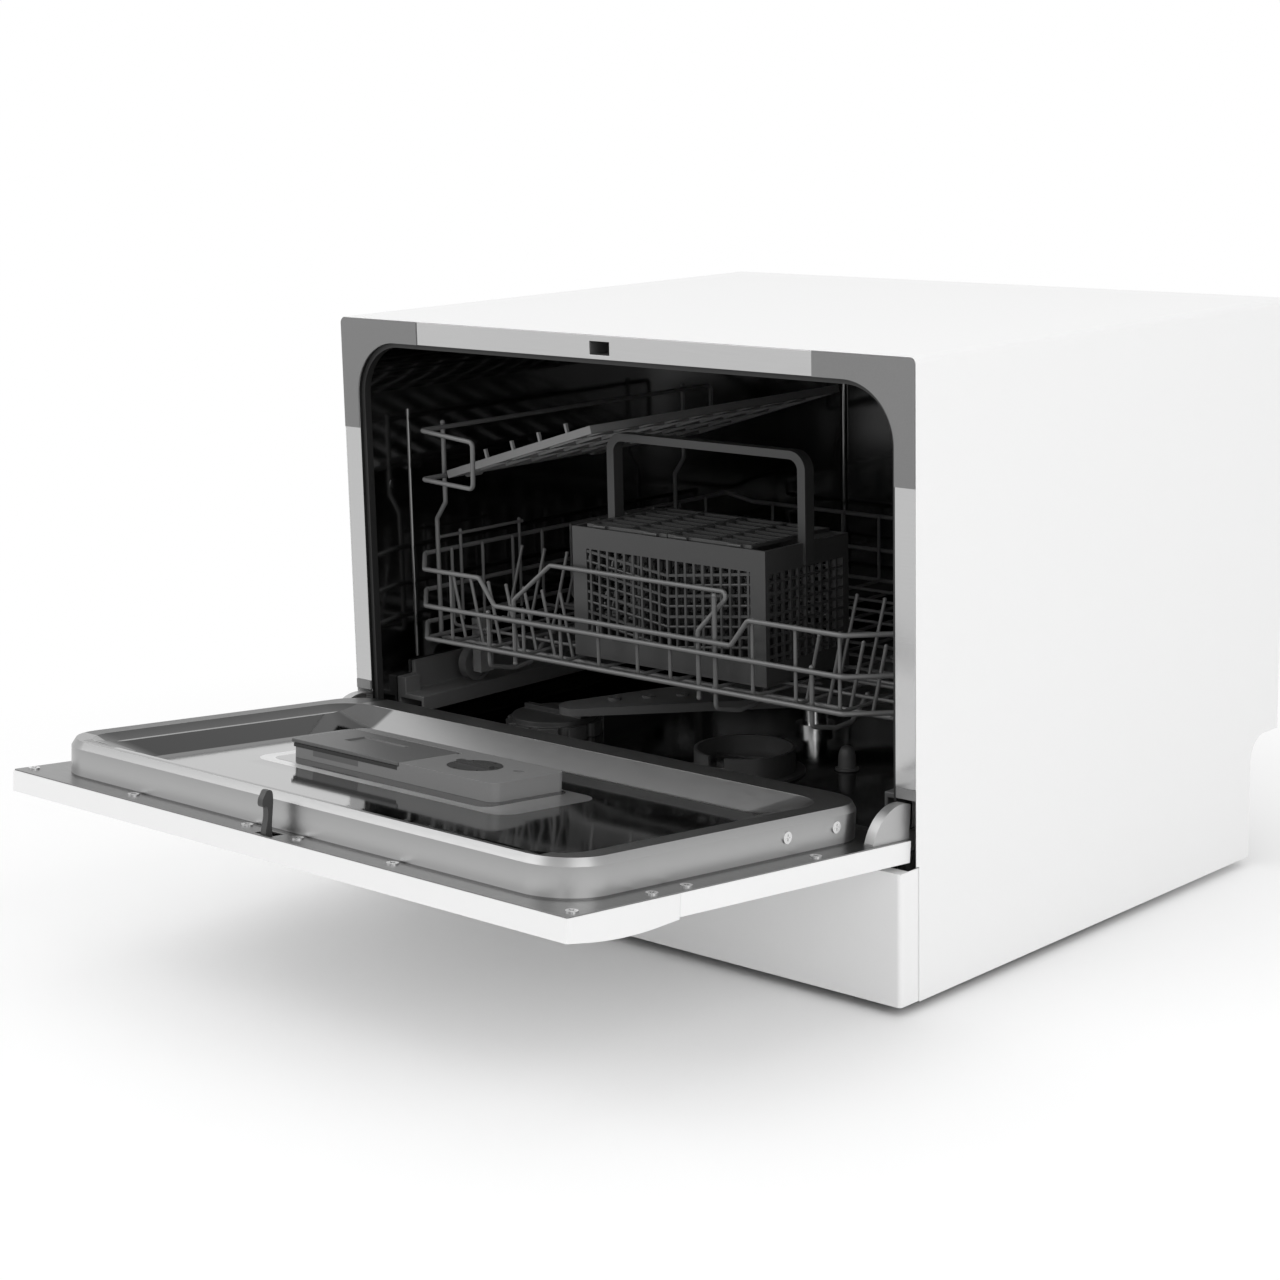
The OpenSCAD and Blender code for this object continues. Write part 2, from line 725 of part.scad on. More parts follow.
module control_panel() color("white") on_door() difference() {
    along_x(-door_half, 2 * door_half) panel_section(0);
    difference() {
        along_x(-door_half + 2.5, 2 * door_half - 5) panel_section(2.5);
        translate([-grip_half - 2.5, -door_reach, -door_t - 10]) cube([2 * grip_half + 5, 46, 19]);
    }
    translate([-door_half + 2.5, -door_reach + 2.5, -4]) cube([2 * door_half - 5, panel_len - 5, 10]);
    translate([-grip_half, -door_reach + 13, -door_t - 10]) cube([2 * grip_half, 28, 17]);
    translate([-grip_half + 6, -door_reach + 2.6, -door_t + 4]) cube([2 * grip_half - 12, 12, 20]);
    for (b = button_places) translate([b[0], button_y, -door_t - 10])
        cylinder(h = 20, r = button_r + free_gap);
    translate([-160, button_y - 9, -door_t - 10]) cube([64, 18, 20]);
}

module button(x) color("lightgray") on_door() translate([x, button_y, 0]) {
    translate([0, 0, button_z - 1.2]) cylinder(h = 9, r = button_r);
    translate([0, 0, button_z + 6]) cylinder(h = 1.8, r = button_r + 2);
}

module power_button() button(button_places[0][0]);
module program_button() button(button_places[1][0]);
module delay_button() button(button_places[2][0]);
module start_button() button(button_places[3][0]);

module display_window() color("black") on_door() {
    translate([-160 + 0.1, button_y - 8.9, button_z + 0.2]) cube([63.8, 17.8, 3]);
    translate([-162, button_y - 11, button_z + 3.15]) cube([68, 22, 1.6]);
}

module control_board() color("darkgreen") on_door() {
    translate([-222, button_y - 30, -8.2]) cube([140, 60, 1.6]);
    translate([100, button_y - 30, -8.2]) cube([122, 60, 1.6]);
    for (x = [-222 + 8, -90, 108, 214]) translate([x, button_y + 24, -16.6]) cylinder(h = 8.4, r = 3);
    for (b = button_places) translate([b[0], button_y, -10.4]) cylinder(h = 2.2, r = 3);
}

module liner_block(half, start, end, r, low, high) {
    translate([0, -(start + end) / 2, low]) linear_extrude(high - low)
        round_rect(2 * half, end - start, r, $fn = soft_fn);
}

basin_floor = liner_h - basin_d + 2;
disp_x = -disp_shift;
disp_mid = -(disp_start + disp_w / 2);

module liner_skin(inset) {
    liner_block(liner_half - inset, liner_start + inset, liner_end - inset, liner_r - inset,
        -0.8 - inset * 2, liner_h - 5);
    hull() {
        liner_block(liner_half - inset, liner_start + inset, liner_end - inset, liner_r - inset,
            liner_h - 6, liner_h - 5);
        liner_block(liner_half - 3 - inset, liner_start + 3 + inset, liner_end - 3 - inset,
            liner_r - 3 - inset,
            liner_h - 1.4 - inset, liner_h - inset);
    }
}

rim_side = 16.5;
rim_hinge = 30;
rim_end = 10;

module basin(grow) hull() {
    liner_block(liner_half - rim_side + grow, liner_start + rim_hinge - grow, liner_end - rim_end + grow,
        liner_r - 8, liner_h - 0.1 - grow, liner_h + 1);
    liner_block(liner_half - rim_side - 35 + grow, liner_start + rim_hinge + 22 - grow,
        liner_end - rim_end - 27 + grow, 20, basin_floor - grow, basin_floor + 0.1);
}

module door_liner() color("silver") on_door() difference() {
    union() {
        difference() {
            union() {
                translate([0, (door_heel - door_reach) / 2, -0.8]) linear_extrude(0.8)
                    round_rect(2 * door_half - 0.8, door_heel + door_reach - 0.8, 1.2);
                liner_skin(0);
            }
            difference() {
                liner_skin(1);
                basin(1);
            }
            basin(0);
        }
        hull() {
            translate([disp_x + 12, disp_mid - 8, basin_floor - 1]) linear_extrude(1)
                round_rect(disp_l + 108, disp_w + 42, 24, $fn = soft_fn);
            translate([disp_x, disp_mid - 8, basin_floor + 2]) linear_extrude(1)
                round_rect(disp_l + 10, disp_w + 12, 10, $fn = soft_fn);
        }
    }
    translate([disp_x, disp_mid, basin_floor - 10]) linear_extrude(30)
        round_rect(disp_l - 12, disp_w - 10, 6);
    hinge_notch();
    translate([-latch_shift - 8, hook_y - 3.4, -5]) cube([16, 11, 10]);
}

// Each hinge cheek is a pressed quarter-round with a hub on the pin and a foot on the liner's flange.
cheek_r = 31;

module hinge_cheek() color("silver") on_door() difference() {
    union() {
        along_x(cheek_x, cheek_w) intersection() {
            translate([0, -axis_drop]) difference() {
                circle(cheek_r);
                circle(cheek_r - 1.2);
            }
            translate([-cheek_r - 5, 0]) square([cheek_r + 5 + door_heel, cheek_r]);
        }
        along_x(cheek_x + cheek_w - 1.2, 1.2) intersection() {
            translate([0, -axis_drop]) circle(cheek_r);
            translate([-cheek_r - 5, 0]) square([cheek_r + 5 + door_heel, cheek_r]);
        }
        along_x(cheek_x, cheek_w) translate([0, -axis_drop]) circle(boss_r - 0.4);
        along_x(cheek_x + cheek_w - 1.2, 1.2) translate([-boss_r + 0.4, -axis_drop])
            square([2 * boss_r - 0.8, axis_drop + 2]);
        translate([cheek_x, -cheek_r + 0.5, 0]) cube([cheek_w, cheek_r - 10, 1.2]);
    }
    translate([cheek_x - 1, 0, -axis_drop]) rotate([0, 90, 0])
        cylinder(h = cheek_w + 0.6, r = pin_r + running);
}

module hinge_cheek_left() mirror([1, 0, 0]) hinge_cheek();
module hinge_cheek_right() hinge_cheek();

screw_x = door_half - 8;
end_screws = [-screw_x, -latch_shift - 147, -latch_shift - 27, -latch_shift + 23, 110, screw_x];
side_screws = [door_reach - 81, door_reach - 112, 83];
screw_places = concat(
    [for (x = end_screws) [x, -door_reach + 12]],
    [for (side = [-1, 1], y = side_screws) [side * screw_x, -y]]
);

module screw_head() difference() {
    cylinder(h = 1, r = 4);
    for (turn = [0, 90]) rotate([0, 0, turn]) translate([-2.4, -0.5, 0.4]) cube([4.8, 1, 2]);
}

module flange_screws() color("silver") on_door() {
    for (p = screw_places) translate([p[0], p[1], 0]) screw_head();
    for (side = [-1, 1], y = [50, 100]) translate([side * liner_half, -y, 13]) rotate([0, side * 90, 0])
        screw_head();
}

// The latch: a lever in the grip recess and a hook through the liner's flange.
lever_y = -door_reach + 13 + 28 - 4;

module release_lever() color("white") on_door() {
    translate([-grip_half + 1, lever_y - 1.6, -door_t + 0.5]) cube([2 * grip_half - 2, 1.6, 5]);
    translate([-grip_half + 1, lever_y - 1.6, -door_t - 2.4]) cube([2 * grip_half - 2, 1.6, 4]);
    translate([-grip_half + 0.4, lever_y - 0.8, -door_t + 4.6]) rotate([0, 90, 0])
        cylinder(h = 2 * grip_half - 0.8, r = 1.8);
}

module latch_hook() color("dimgray") on_door() translate([-latch_shift - 5, 0, 0]) {
    pivot = hook_y + 5;
    along_x(-1, 12) translate([pivot, -6]) circle(3.6);
    along_x(0, 10) polygon([
        [pivot + 0.5, -8], [hook_y - 2.4, -8], [hook_y - 2.4, 19], [hook_y - 4.4, 21], [hook_y - 4.4, 24],
        [hook_y - 1, 29], [hook_y + 2.4, 29], [hook_y + 2.4, -3], [pivot + 0.5, -4]
    ]);
}

// The dispenser: body, flip lid over the detergent cup, rinse aid cap.
seat_z = basin_floor + 3;
lid_len = disp_l * 0.55;
cap_x = disp_x + disp_l / 2 - 53;

module dispenser_body() color("gray") on_door() difference() {
    union() {
        translate([disp_x, disp_mid, seat_z]) linear_extrude(disp_h - seat_z) round_rect(disp_l, disp_w, 8);
        translate([disp_x, disp_mid, -10]) linear_extrude(seat_z + 11)
            round_rect(disp_l - 13, disp_w - 11, 5);
    }
    translate([disp_x - disp_l / 2 - 1, disp_mid - disp_w / 2 - 1, disp_h - 3])
        cube([lid_len + 1, disp_w - 10, 10]);
    translate([disp_x - disp_l / 2 + lid_len / 2, disp_mid - 3, disp_h - 26]) linear_extrude(40)
        round_rect(lid_len - 22, disp_w - 26, 8);
    translate([cap_x, disp_mid, disp_h - 12]) cylinder(h = 20, r = cap_r + free_gap);
    translate([cap_x + 32, disp_mid + 10, disp_h - 2]) cylinder(h = 5, r = 4);
    translate([disp_x - disp_l / 2 + 24, disp_mid - disp_w / 2 - 1, disp_h - 9]) cube([46, 5, 7]);
    translate([disp_x + disp_l / 2 - 90, disp_mid + 20, disp_h - 2]) cylinder(h = 5, r = 2);
}

// The lid turns on a barrel along its edge nearest the door's hinge.
lid_t = 2.7;
lid_back = disp_mid + disp_w / 2 - 11 - lid_t / 2 - free_gap;

module detergent_lid() color("gray") on_door() difference() {
    left = disp_x - disp_l / 2 + 0.3;
    front = disp_mid - disp_w / 2;
    union() {
        translate([left, front, disp_h - lid_t]) cube([lid_len - 0.8, lid_back - front, lid_t]);
        translate([left, lid_back, disp_h - lid_t / 2]) rotate([0, 90, 0])
            cylinder(h = lid_len - 0.8, r = lid_t / 2);
    }
    translate([left + 27, front + 26, disp_h - 1.2]) cube([45, 19, 3]);
}

module rinse_aid_cap() color("dimgray") on_door() translate([cap_x, disp_mid, disp_h - 11.5]) difference() {
    union() {
        cylinder(h = 11.5, r = cap_r);
        translate([-cap_r + 3, -2.5, 11]) cube([2 * cap_r - 6, 5, 2.4]);
    }
    for (i = [0:5]) rotate([0, 0, 60 * i + 20]) translate([cap_r - 4, -0.5, 10.9]) cube([3, 1, 2]);
}

// The spray arm: two swept blades on a hub, with jets along the top.
module spray_arm() color("gray") translate([0, hub_y, 0]) rotate([0, 0, arm_turn]) difference() {
    union() {
        for (turn = [0, 180]) rotate([0, 0, turn]) hull() {
            translate([0, 0, arm_low + 2]) cylinder(h = 8, r = 27, $fn = soft_fn);
            translate([arm_reach * 0.55, -9, arm_low + 1]) cylinder(h = 9, r = 24, $fn = soft_fn);
            translate([arm_reach - 15, 0, arm_low + 2]) cylinder(h = 6, r = 15, $fn = soft_fn);
        }
        translate([0, 0, arm_low]) cylinder(h = 14, r = 17);
        for (turn = [0, 180], i = [1:5]) rotate([0, 0, turn]) translate([24 + i * 27, -4, arm_low + 5])
            cylinder(h = 6.5, r = 5);
    }
    translate([0, 0, arm_low - 5]) cylinder(h = 30, r = 6 + running);
    for (turn = [0, 180], i = [1:5]) rotate([0, 0, turn]) translate([24 + i * 27, -4, arm_low + 9])
        cylinder(h = 6.5, r = 2);
}

// The rack: three wire hoops round the floor wires. Wires that touch stand a hair apart, so that
// each is a solid of its own. The hoops run a little higher along the left side.
corner = 16;
skid_places = [-158, 72, 160];
skid_tops = [rack_mid + 2, rack_top + 13, rack_mid + 2];
leg_y = wire_r + (wire_r - thinner) + hair;

function ring(z, front) = concat(
    [[-rack_half, rack_front + corner, z + side_rise], [-rack_half + corner, rack_front, z]],
    front,
    [
        [rack_half - rack_cut, rack_front, z], [rack_half, rack_front + rack_cut, z],
        [rack_half, rack_back - rack_cut, z], [rack_half - rack_cut, rack_back, z],
        [-rack_half + corner, rack_back, z], [-rack_half, rack_back - corner, z + side_rise]
    ]
);

dip_from = -155;
dip_to = 98;
dip_slope = 8;
dip_z = rack_top - 20;
dip = [
    [dip_from - dip_slope, rack_front, rack_top], [dip_from + dip_slope, rack_front, dip_z],
    [dip_to - dip_slope, rack_front, dip_z], [dip_to + dip_slope, rack_front, rack_top]
];

// Wires of the floor, and the uprights that stand just inside the hoops.
inset = wire_r + thin_r + hair;
layer = 2 * thin_r - 0.4;
floor_r = thin_r - 0.1;
long_wires = concat(
    [for (i = [0:5]) -rack_half + 42 + i * wire_gap],
    [for (i = [0:4]) rack_half - 55 - i * wire_gap]
);
cross_wires = [for (y = [rack_front + cross_gap + 8:cross_gap:rack_back - 20]) y];
basket_z = rack_floor + layer + floor_r + 0.2;
function cut_at(y) = max(0, rack_front + rack_cut - y, y - rack_back + rack_cut);
function side_in(y) = cut_at(y) > 0 ? cut_at(y) + inset * sqrt(2) : inset;
function front_top(x) = x > dip_from && x < dip_to ? dip_z : rack_top;
function by_skid(x) = min([for (place = skid_places) abs(x - place)]) < 5;

module rack_hoops() {
    wire_loop(ring(rack_floor, []), wire_r);
    wire_loop(ring(rack_mid, []), wire_r);
    wire_loop(ring(rack_top, dip), wire_r);
    rod([-inner_rail, rack_front + 5, rail_z], [-inner_rail, rack_back - 5, rail_z], wire_r - 0.1);
    rod([inner_rail, rack_front + rack_cut - 11, rail_z],
        [inner_rail, rack_back - rack_cut + 11, rail_z], wire_r - 0.1);
}

module rack_grid() color("gray") {
    upright_gap = inset + thin_r + hair;
    leg_gap = leg_y + wire_r + hair;
    low = rack_floor + layer;
    for (x = long_wires) {
        gap = by_skid(x) ? leg_gap : upright_gap;
        rod([x, rack_front + gap, rack_floor], [x, rack_back - gap, rack_floor], floor_r);
        if (!by_skid(x)) {
            rod([x, rack_front + inset, rack_floor - floor_r], [x, rack_front + inset, front_top(x)], thin_r);
            rod([x, rack_back - inset, rack_floor - floor_r], [x, rack_back - inset, rack_top], thin_r);
        }
    }
    for (y = cross_wires) {
        left = -rack_half + inset;
        right = rack_half - side_in(y);
        rod([left + thin_r + hair, y, low], [right - thin_r - hair, y, low], floor_r);
        rod([left, y, low - floor_r], [left, y, rack_top + side_rise], thin_r);
        rod([right, y, low - floor_r], [right, y, rack_top], thin_r);
    }
}

// Skids under the floor, each with a leg that goes on up behind the hoops.
module skid(x, top) {
    foot_z = rack_floor - 20;
    bend_z = rack_floor - 13;
    r = wire_r - thinner;
    rod([x, rack_front + leg_y, bend_z + r + 2 * hair], [x, rack_front + leg_y, top], r);
    wire([
        [x, rack_front + leg_y - r, bend_z], [x, rack_front + 30, foot_z], [x, rack_front + 48, foot_z + 1],
        [x, rack_front + 66, rack_floor - 3]
    ], r);
}

module skids() for (i = [0:2]) {
    skid(skid_places[i], skid_tops[i]);
    translate([0, rack_front + rack_back, 0]) mirror([0, 1, 0]) skid(skid_places[i], rack_mid + 2);
}

// The loop at the front that keeps the cutlery basket in its place, with two thin stays.
loop_left = -130;
loop_right = 56;

module basket_loop() {
    y = rack_front + leg_y;
    wire([
        [loop_left, y, rack_floor - 8], [loop_left, y, rack_top - 14], [loop_left + 32, y + 8, rack_top + 15],
        [loop_right + 25, y + 8, rack_top + 15], [loop_right, y, rack_top - 14], [loop_right, y,
            rack_floor - 8]
    ], wire_r - thinner);
}

module rack() color("gray") {
    rack_hoops();
    skids();
    basket_loop();
}

// Wire bracket that the cup shelf hangs on, its two uprights, and the fence on the left side.
module shelf_bracket() color("gray") {
    x = -shelf_x;
    front = rack_front;
    back = shelf_front + shelf_len + 20;
    wire([
        [x, back, shelf_top_z], [x, front, shelf_top_z], [x + 57, front, shelf_top_z - 5],
        [x + 56, front, shelf_z - 3], [x, front, shelf_z], [x, back, shelf_z]
    ], wire_r);
    rod([x, back, shelf_z], [x, back, shelf_top_z], wire_r - 0.1);
    foot_x = -rack_half + 2 * wire_r + hair;
    side_x = x - 2 * wire_r - hair;
    for (y = [carrier_y, shelf_front + shelf_len - 12]) wire([
        [foot_x, y, carrier_z - wire_r], [foot_x, y, shelf_z - 36], [side_x, y, shelf_z - 22],
        [side_x, y, shelf_top_z + 3]
    ], wire_r);
    fence_x = -rack_half + inset;
    fence_z = rack_top + 20;
    fence_posts = [carrier_y + 25, carrier_y + 91];
    rod([fence_x, carrier_y + 3, fence_z], [fence_x, fence_posts[1] + 3, fence_z], thin_r);
    for (y = fence_posts) rod([fence_x, y, rack_floor + 6], [fence_x, y, fence_z + 2], thin_r - thinner);
}

// Tines stand in rows: the front rows on a carrier under the floor, the others on top of it.
carrier_y = rack_front + 27;
carrier_z = rail_z - 2 * wire_r + thinner - hair;
tine_rows = [for (i = [0:3]) rack_front + 8 + 2 * cross_gap * (i + 1)];
tine_foot = rack_floor + layer + floor_r + thin_r + hair;
tine_top = rack_floor + tine_h;

module tine_row(from, to, y) {
    rod([from, y, tine_foot], [to, y, tine_foot], thin_r);
    for (x = [from + 6:tine_gap:to]) rod([x, y, tine_foot], [x + 6, y + 12, tine_top], thin_r - thinner);
}

module rack_tines() color("gray") {
    for (y = tine_rows) {
        tine_row(122, rack_half - 6, y);
        tine_row(-rack_half + 24, -100, y);
    }
    rod([-rack_half + 3 * wire_r + 2 * hair, carrier_y, carrier_z],
        [rack_half - 28, carrier_y, carrier_z], wire_r);
    half_gap = wire_gap / 2;
    front_foot = carrier_z + wire_r + 0.4;
    for (i = [0:6]) let (x = long_wires[0] + (i - 0.5) * half_gap)
        rod([x, carrier_y, front_foot], [x - 12, carrier_y, tine_top - 17], thin_r);
    for (i = [0:3]) let (x = long_wires[6] - (i - 0.5) * half_gap)
        rod([x, carrier_y, front_foot], [x + 12, carrier_y, tine_top - 17], thin_r);
}

// Clips under the inner rail carry the wheel axles.
module wheel_clip(x_side, y) translate([0, y, 0]) {
    inner = inner_rail;
    difference() {
        union() {
            translate([x_side * inner, 0, (rail_z + wheel_z) / 2])
                cube([9, 14, rail_z - wheel_z + 12], center = true);
            translate([x_side * (inner - 4.5), 0, wheel_z]) rotate([0, x_side * 90, 0])
                cylinder(h = wheel_x - wheel_w / 2 - inner + 4.1, r = 6);
            translate([x_side * (inner - 4.5), 0, wheel_z]) rotate([0, x_side * 90, 0])
                cylinder(h = wheel_x + wheel_w / 2 - inner + 6, r = axle_r);
        }
        translate([x_side * inner, -20, rail_z]) rotate([-90, 0, 0]) cylinder(h = 40, r = wire_r + 0.1);
    }
}

module wheel_clips() color("dimgray") for (side = [-1, 1], y = [wheel_y_front, wheel_y_rear])
    wheel_clip(side, y);

module wheel(side, y) color("black") translate([side * (wheel_x + 0.6), y, wheel_z]) rotate([0, 90, 0])
    difference() {
    cylinder(h = wheel_w, r = wheel_r, center = true);
    for (face = [-1, 1]) translate([0, 0, face * wheel_w / 2]) difference() {
        cylinder(h = 4, r = wheel_r - 2.5, center = true);
        cylinder(h = 5, r = 6, center = true);
    }
    cylinder(h = 30, r = axle_r + running, center = true);
}

module wheel_front_left() wheel(-1, wheel_y_front);
module wheel_front_right() wheel(1, wheel_y_front);
module wheel_rear_left() wheel(-1, wheel_y_rear);
module wheel_rear_right() wheel(1, wheel_y_rear);

// The cup shelf: a slotted grid with a front rail, hooked on the bracket's lower wire.
module cup_shelf() color("gray") translate([-shelf_x, shelf_front, shelf_z]) rotate([0, -shelf_tilt, 0])
    difference() {
    union() {
        translate([4, 3, -shelf_t / 2]) cube([shelf_w - 4, 4, shelf_t]);
        translate([4, shelf_len - 7, -shelf_t / 2]) cube([shelf_w - 4, 4, shelf_t]);
        translate([4, 3, -shelf_t / 2]) cube([6, shelf_len - 6, shelf_t]);
        translate([shelf_w - 5, 3, -shelf_t / 2]) cube([5, shelf_len - 6, shelf_t]);
        for (i = [1:9]) translate([4, 3 + i * (shelf_len - 10) / 10, -shelf_t / 2 + 1])
            cube([shelf_w - 6, 4, shelf_t - 2]);
        for (x = [45, 88, 130]) translate([x, 3, -shelf_t / 2 + 1]) cube([3, shelf_len - 8, shelf_t - 2]);
        for (x = [50, 80, 110, 140]) translate([x, 3, 0]) cube([2, 2.5, shelf_t / 2 + 7]);
        for (y = [28, shelf_len / 2 + 20, shelf_len - 50]) translate([0, y, 0]) {
            rotate([-90, 0, 0]) cylinder(h = 14, r = wire_r + 2.4);
            translate([0, 0, -2]) cube([8, 14, 4]);
        }
    }
    translate([0, -10, 0]) rotate([-90, 0, 0]) cylinder(h = shelf_len + 20, r = wire_r + 0.08);
}

// The cutlery basket: grilles with solid rims, a lattice floor, dividers and an arch handle.
// Its walls, floor and handle stand a hair apart, each a flat solid of its own.
basket_t = 2.4;
bar_t = 2;
rim_h = 16;
foot_rim = 14;
grille_slope = 7;
row_gap = 15.2;

// A grille in the XZ plane: rims, upright bars, and cross bars that drop towards the middle.
module grille_wall(length, height, slope) {
    rise = length / 2 * tan(slope);
    cube([length, basket_t, foot_rim]);
    translate([0, 0, height - rim_h]) cube([length, basket_t, rim_h]);
    for (x = [0:bar_gap:length - bar_t]) translate([x, 0, 0]) cube([bar_t, basket_t, height]);
    translate([length - bar_t, 0, 0]) cube([bar_t, basket_t, height]);
    for (z = [foot_rim - rise + 4:row_gap:height - rim_h - rise]) along_y(0.3, basket_t - 0.6) polygon([
        [0, z + rise], [length / 2, z], [length, z + rise],
        [length, z + rise + bar_t], [length / 2, z + bar_t], [0, z + rise + bar_t]
    ]);
}

module arch_handle() {
    outer = basket_l / 2 + basket_t;
    low = basket_h + hair;
    along_y(basket_w / 2 - 5, 10) difference() {
        arch(outer, low, basket_h + handle_h, 14);
        arch(outer - 7, low - through, basket_h + handle_h - 6, 8);
    }
    both_sides() translate([basket_l / 2 + hair, basket_w / 2 - 5, basket_h - rim_h])
        cube([basket_t - hair, 10, rim_h + 2]);
}

module cutlery_basket() color("dimgray") translate([basket_x, basket_y, basket_z]) {
    half = basket_l / 2;
    low = bar_t + hair;
    wall_h = basket_h - low;
    inside = basket_w - 2 * (basket_t + hair);
    for (y = [0, basket_w - basket_t]) translate([-half, y, low]) {
        grille_wall(basket_l, wall_h, grille_slope);
        for (x = [0, basket_l - 14]) translate([x, 0, 0]) cube([14, basket_t, wall_h]);
    }
    for (x = [-half, -half / 3, half / 3, half - basket_t])
        translate([x + basket_t, basket_t + hair, low]) rotate([0, 0, 90]) grille_wall(inside, wall_h, 0.5);
    for (i = [0:10]) translate([-half, i * (basket_w - 3) / 10, 0]) cube([basket_l, 3, bar_t]);
    for (i = [0:14]) translate([-half + i * (basket_l - 3) / 14, 0, 0.2]) cube([3, basket_w, bar_t - 0.4]);
    arch_handle();
}

lid_z = basket_z + basket_h + 0.3;
lid_y = basket_y + 2;

module basket_lid(from, to) color("dimgray") translate([0, lid_y, lid_z]) difference() {
    depth = basket_w - 6;
    union() {
        for (i = [0:7]) translate([from, i * (depth - 3) / 7, 0]) cube([to - from, 3, 2.4]);
        for (x = [from, (from + to) / 2 - 1.5, to - 3]) translate([x, 0, 0]) cube([3, depth, 2.4]);
        for (x = [from + 8, to - 20]) translate([x, -1.4, 1.2]) rotate([0, 90, 0]) cylinder(h = 12, r = 1.2);
        for (x = [from + 8, to - 20]) translate([x, -1.4, 0.2]) cube([12, 3, 2]);
    }
}

module basket_lid_left() basket_lid(basket_x - basket_l / 2 + 14, basket_x - 0.5);
module basket_lid_right() basket_lid(basket_x + 0.5, basket_x + basket_l / 2 - 14);

module placed() translate([0, -origin_back, 0]) children();

placed() casing();
placed() rear_panel();
placed() service_panel();
placed() base_tray();
placed() kick_plate();
placed() feet();
placed() front_frame();
placed() corner_trim_left();
placed() corner_trim_right();
placed() flange_end_caps();
placed() tub();
placed() door_seal();
placed() latch_catch();
placed() wheel_rail_left();
placed() wheel_rail_right();
placed() hinge_bracket_left();
placed() hinge_bracket_right();
placed() sump();
placed() spray_riser();
placed() heater();
placed() wash_pump();
placed() drain_pump();
placed() inlet_valve();
placed() drain_spigot();
placed() cable_gland();
placed() coarse_filter();
placed() fine_filter();
placed() salt_cap();
placed() float();
placed() door_outer_panel();
placed() control_panel();
placed() door_liner();
placed() hinge_cheek_left();
placed() hinge_cheek_right();
placed() flange_screws();
placed() control_board();
placed() display_window();
placed() power_button();
placed() program_button();
placed() delay_button();
placed() start_button();
placed() release_lever();
placed() latch_hook();
placed() dispenser_body();
placed() detergent_lid();
placed() rinse_aid_cap();
placed() spray_arm();
placed() rack();
placed() rack_grid();
placed() shelf_bracket();
placed() rack_tines();
placed() wheel_clips();
placed() wheel_front_left();
placed() wheel_front_right();
placed() wheel_rear_left();
placed() wheel_rear_right();
placed() cup_shelf();
placed() cutlery_basket();
placed() basket_lid_left();
placed() basket_lid_right();
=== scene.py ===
"""Dresses a countertop dishwasher: finishes, bent wires, soft edges and a plain studio."""

import json
import math

import bmesh
import bpy
from mathutils import Matrix, Vector

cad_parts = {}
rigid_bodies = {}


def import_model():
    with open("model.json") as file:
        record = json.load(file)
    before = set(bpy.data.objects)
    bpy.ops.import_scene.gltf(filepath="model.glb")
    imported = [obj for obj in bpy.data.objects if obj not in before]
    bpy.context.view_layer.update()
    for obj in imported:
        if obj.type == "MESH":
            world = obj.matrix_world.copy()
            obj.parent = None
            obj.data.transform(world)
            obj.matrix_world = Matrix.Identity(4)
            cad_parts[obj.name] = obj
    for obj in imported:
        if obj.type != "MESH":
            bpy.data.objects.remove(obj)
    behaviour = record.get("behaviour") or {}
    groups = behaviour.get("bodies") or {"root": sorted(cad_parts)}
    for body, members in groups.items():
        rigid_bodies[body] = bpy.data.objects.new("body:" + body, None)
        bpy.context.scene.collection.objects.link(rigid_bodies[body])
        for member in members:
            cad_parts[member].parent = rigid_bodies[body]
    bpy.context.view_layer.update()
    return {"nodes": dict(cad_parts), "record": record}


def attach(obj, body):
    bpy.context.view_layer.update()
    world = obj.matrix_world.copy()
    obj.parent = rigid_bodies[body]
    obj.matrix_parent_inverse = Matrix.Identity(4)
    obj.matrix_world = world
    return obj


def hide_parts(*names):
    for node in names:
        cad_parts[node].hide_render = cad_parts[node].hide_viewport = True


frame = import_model()

bl_info = {
    "name": "Countertop dishwasher",
    "version": (1, 0, 0),
    "blender": (4, 0, 0),
    "location": "View3D > Sidebar > Dishwasher",
    "description": "Finishes and fine pieces for a countertop dishwasher with an open door",
    "category": "Object",
}

NODES = frame["nodes"]
SLOT_OF = {part["node"]: part["material_slot"] for part in frame["record"]["subparts"]}
BODY_OF = {node: body for body, nodes in frame["record"]["behaviour"]["bodies"].items() for node in nodes}
MM = 0.001


# Sizes of the model's own frame, in millimetres
ORIGIN_BACK = 71.0
HINGE_AXIS = (-8.4, 113.0)
HINGE_DROP = 6.4
DOOR_LIFT = math.radians(5.1)


def placed(x, y, z):
    """A point of the machine, in metres, with Y counted from the front frame."""
    return Vector((x, y - ORIGIN_BACK, z)) * MM


def on_door(x, y, z):
    """A point of the door, in metres: -Y runs to the free end and Z stands up from the liner's flange."""
    up = z + HINGE_DROP
    back = y * math.cos(DOOR_LIFT) + up * math.sin(DOOR_LIFT)
    high = up * math.cos(DOOR_LIFT) - y * math.sin(DOOR_LIFT)
    return placed(x, HINGE_AXIS[0] + back, HINGE_AXIS[1] + high)


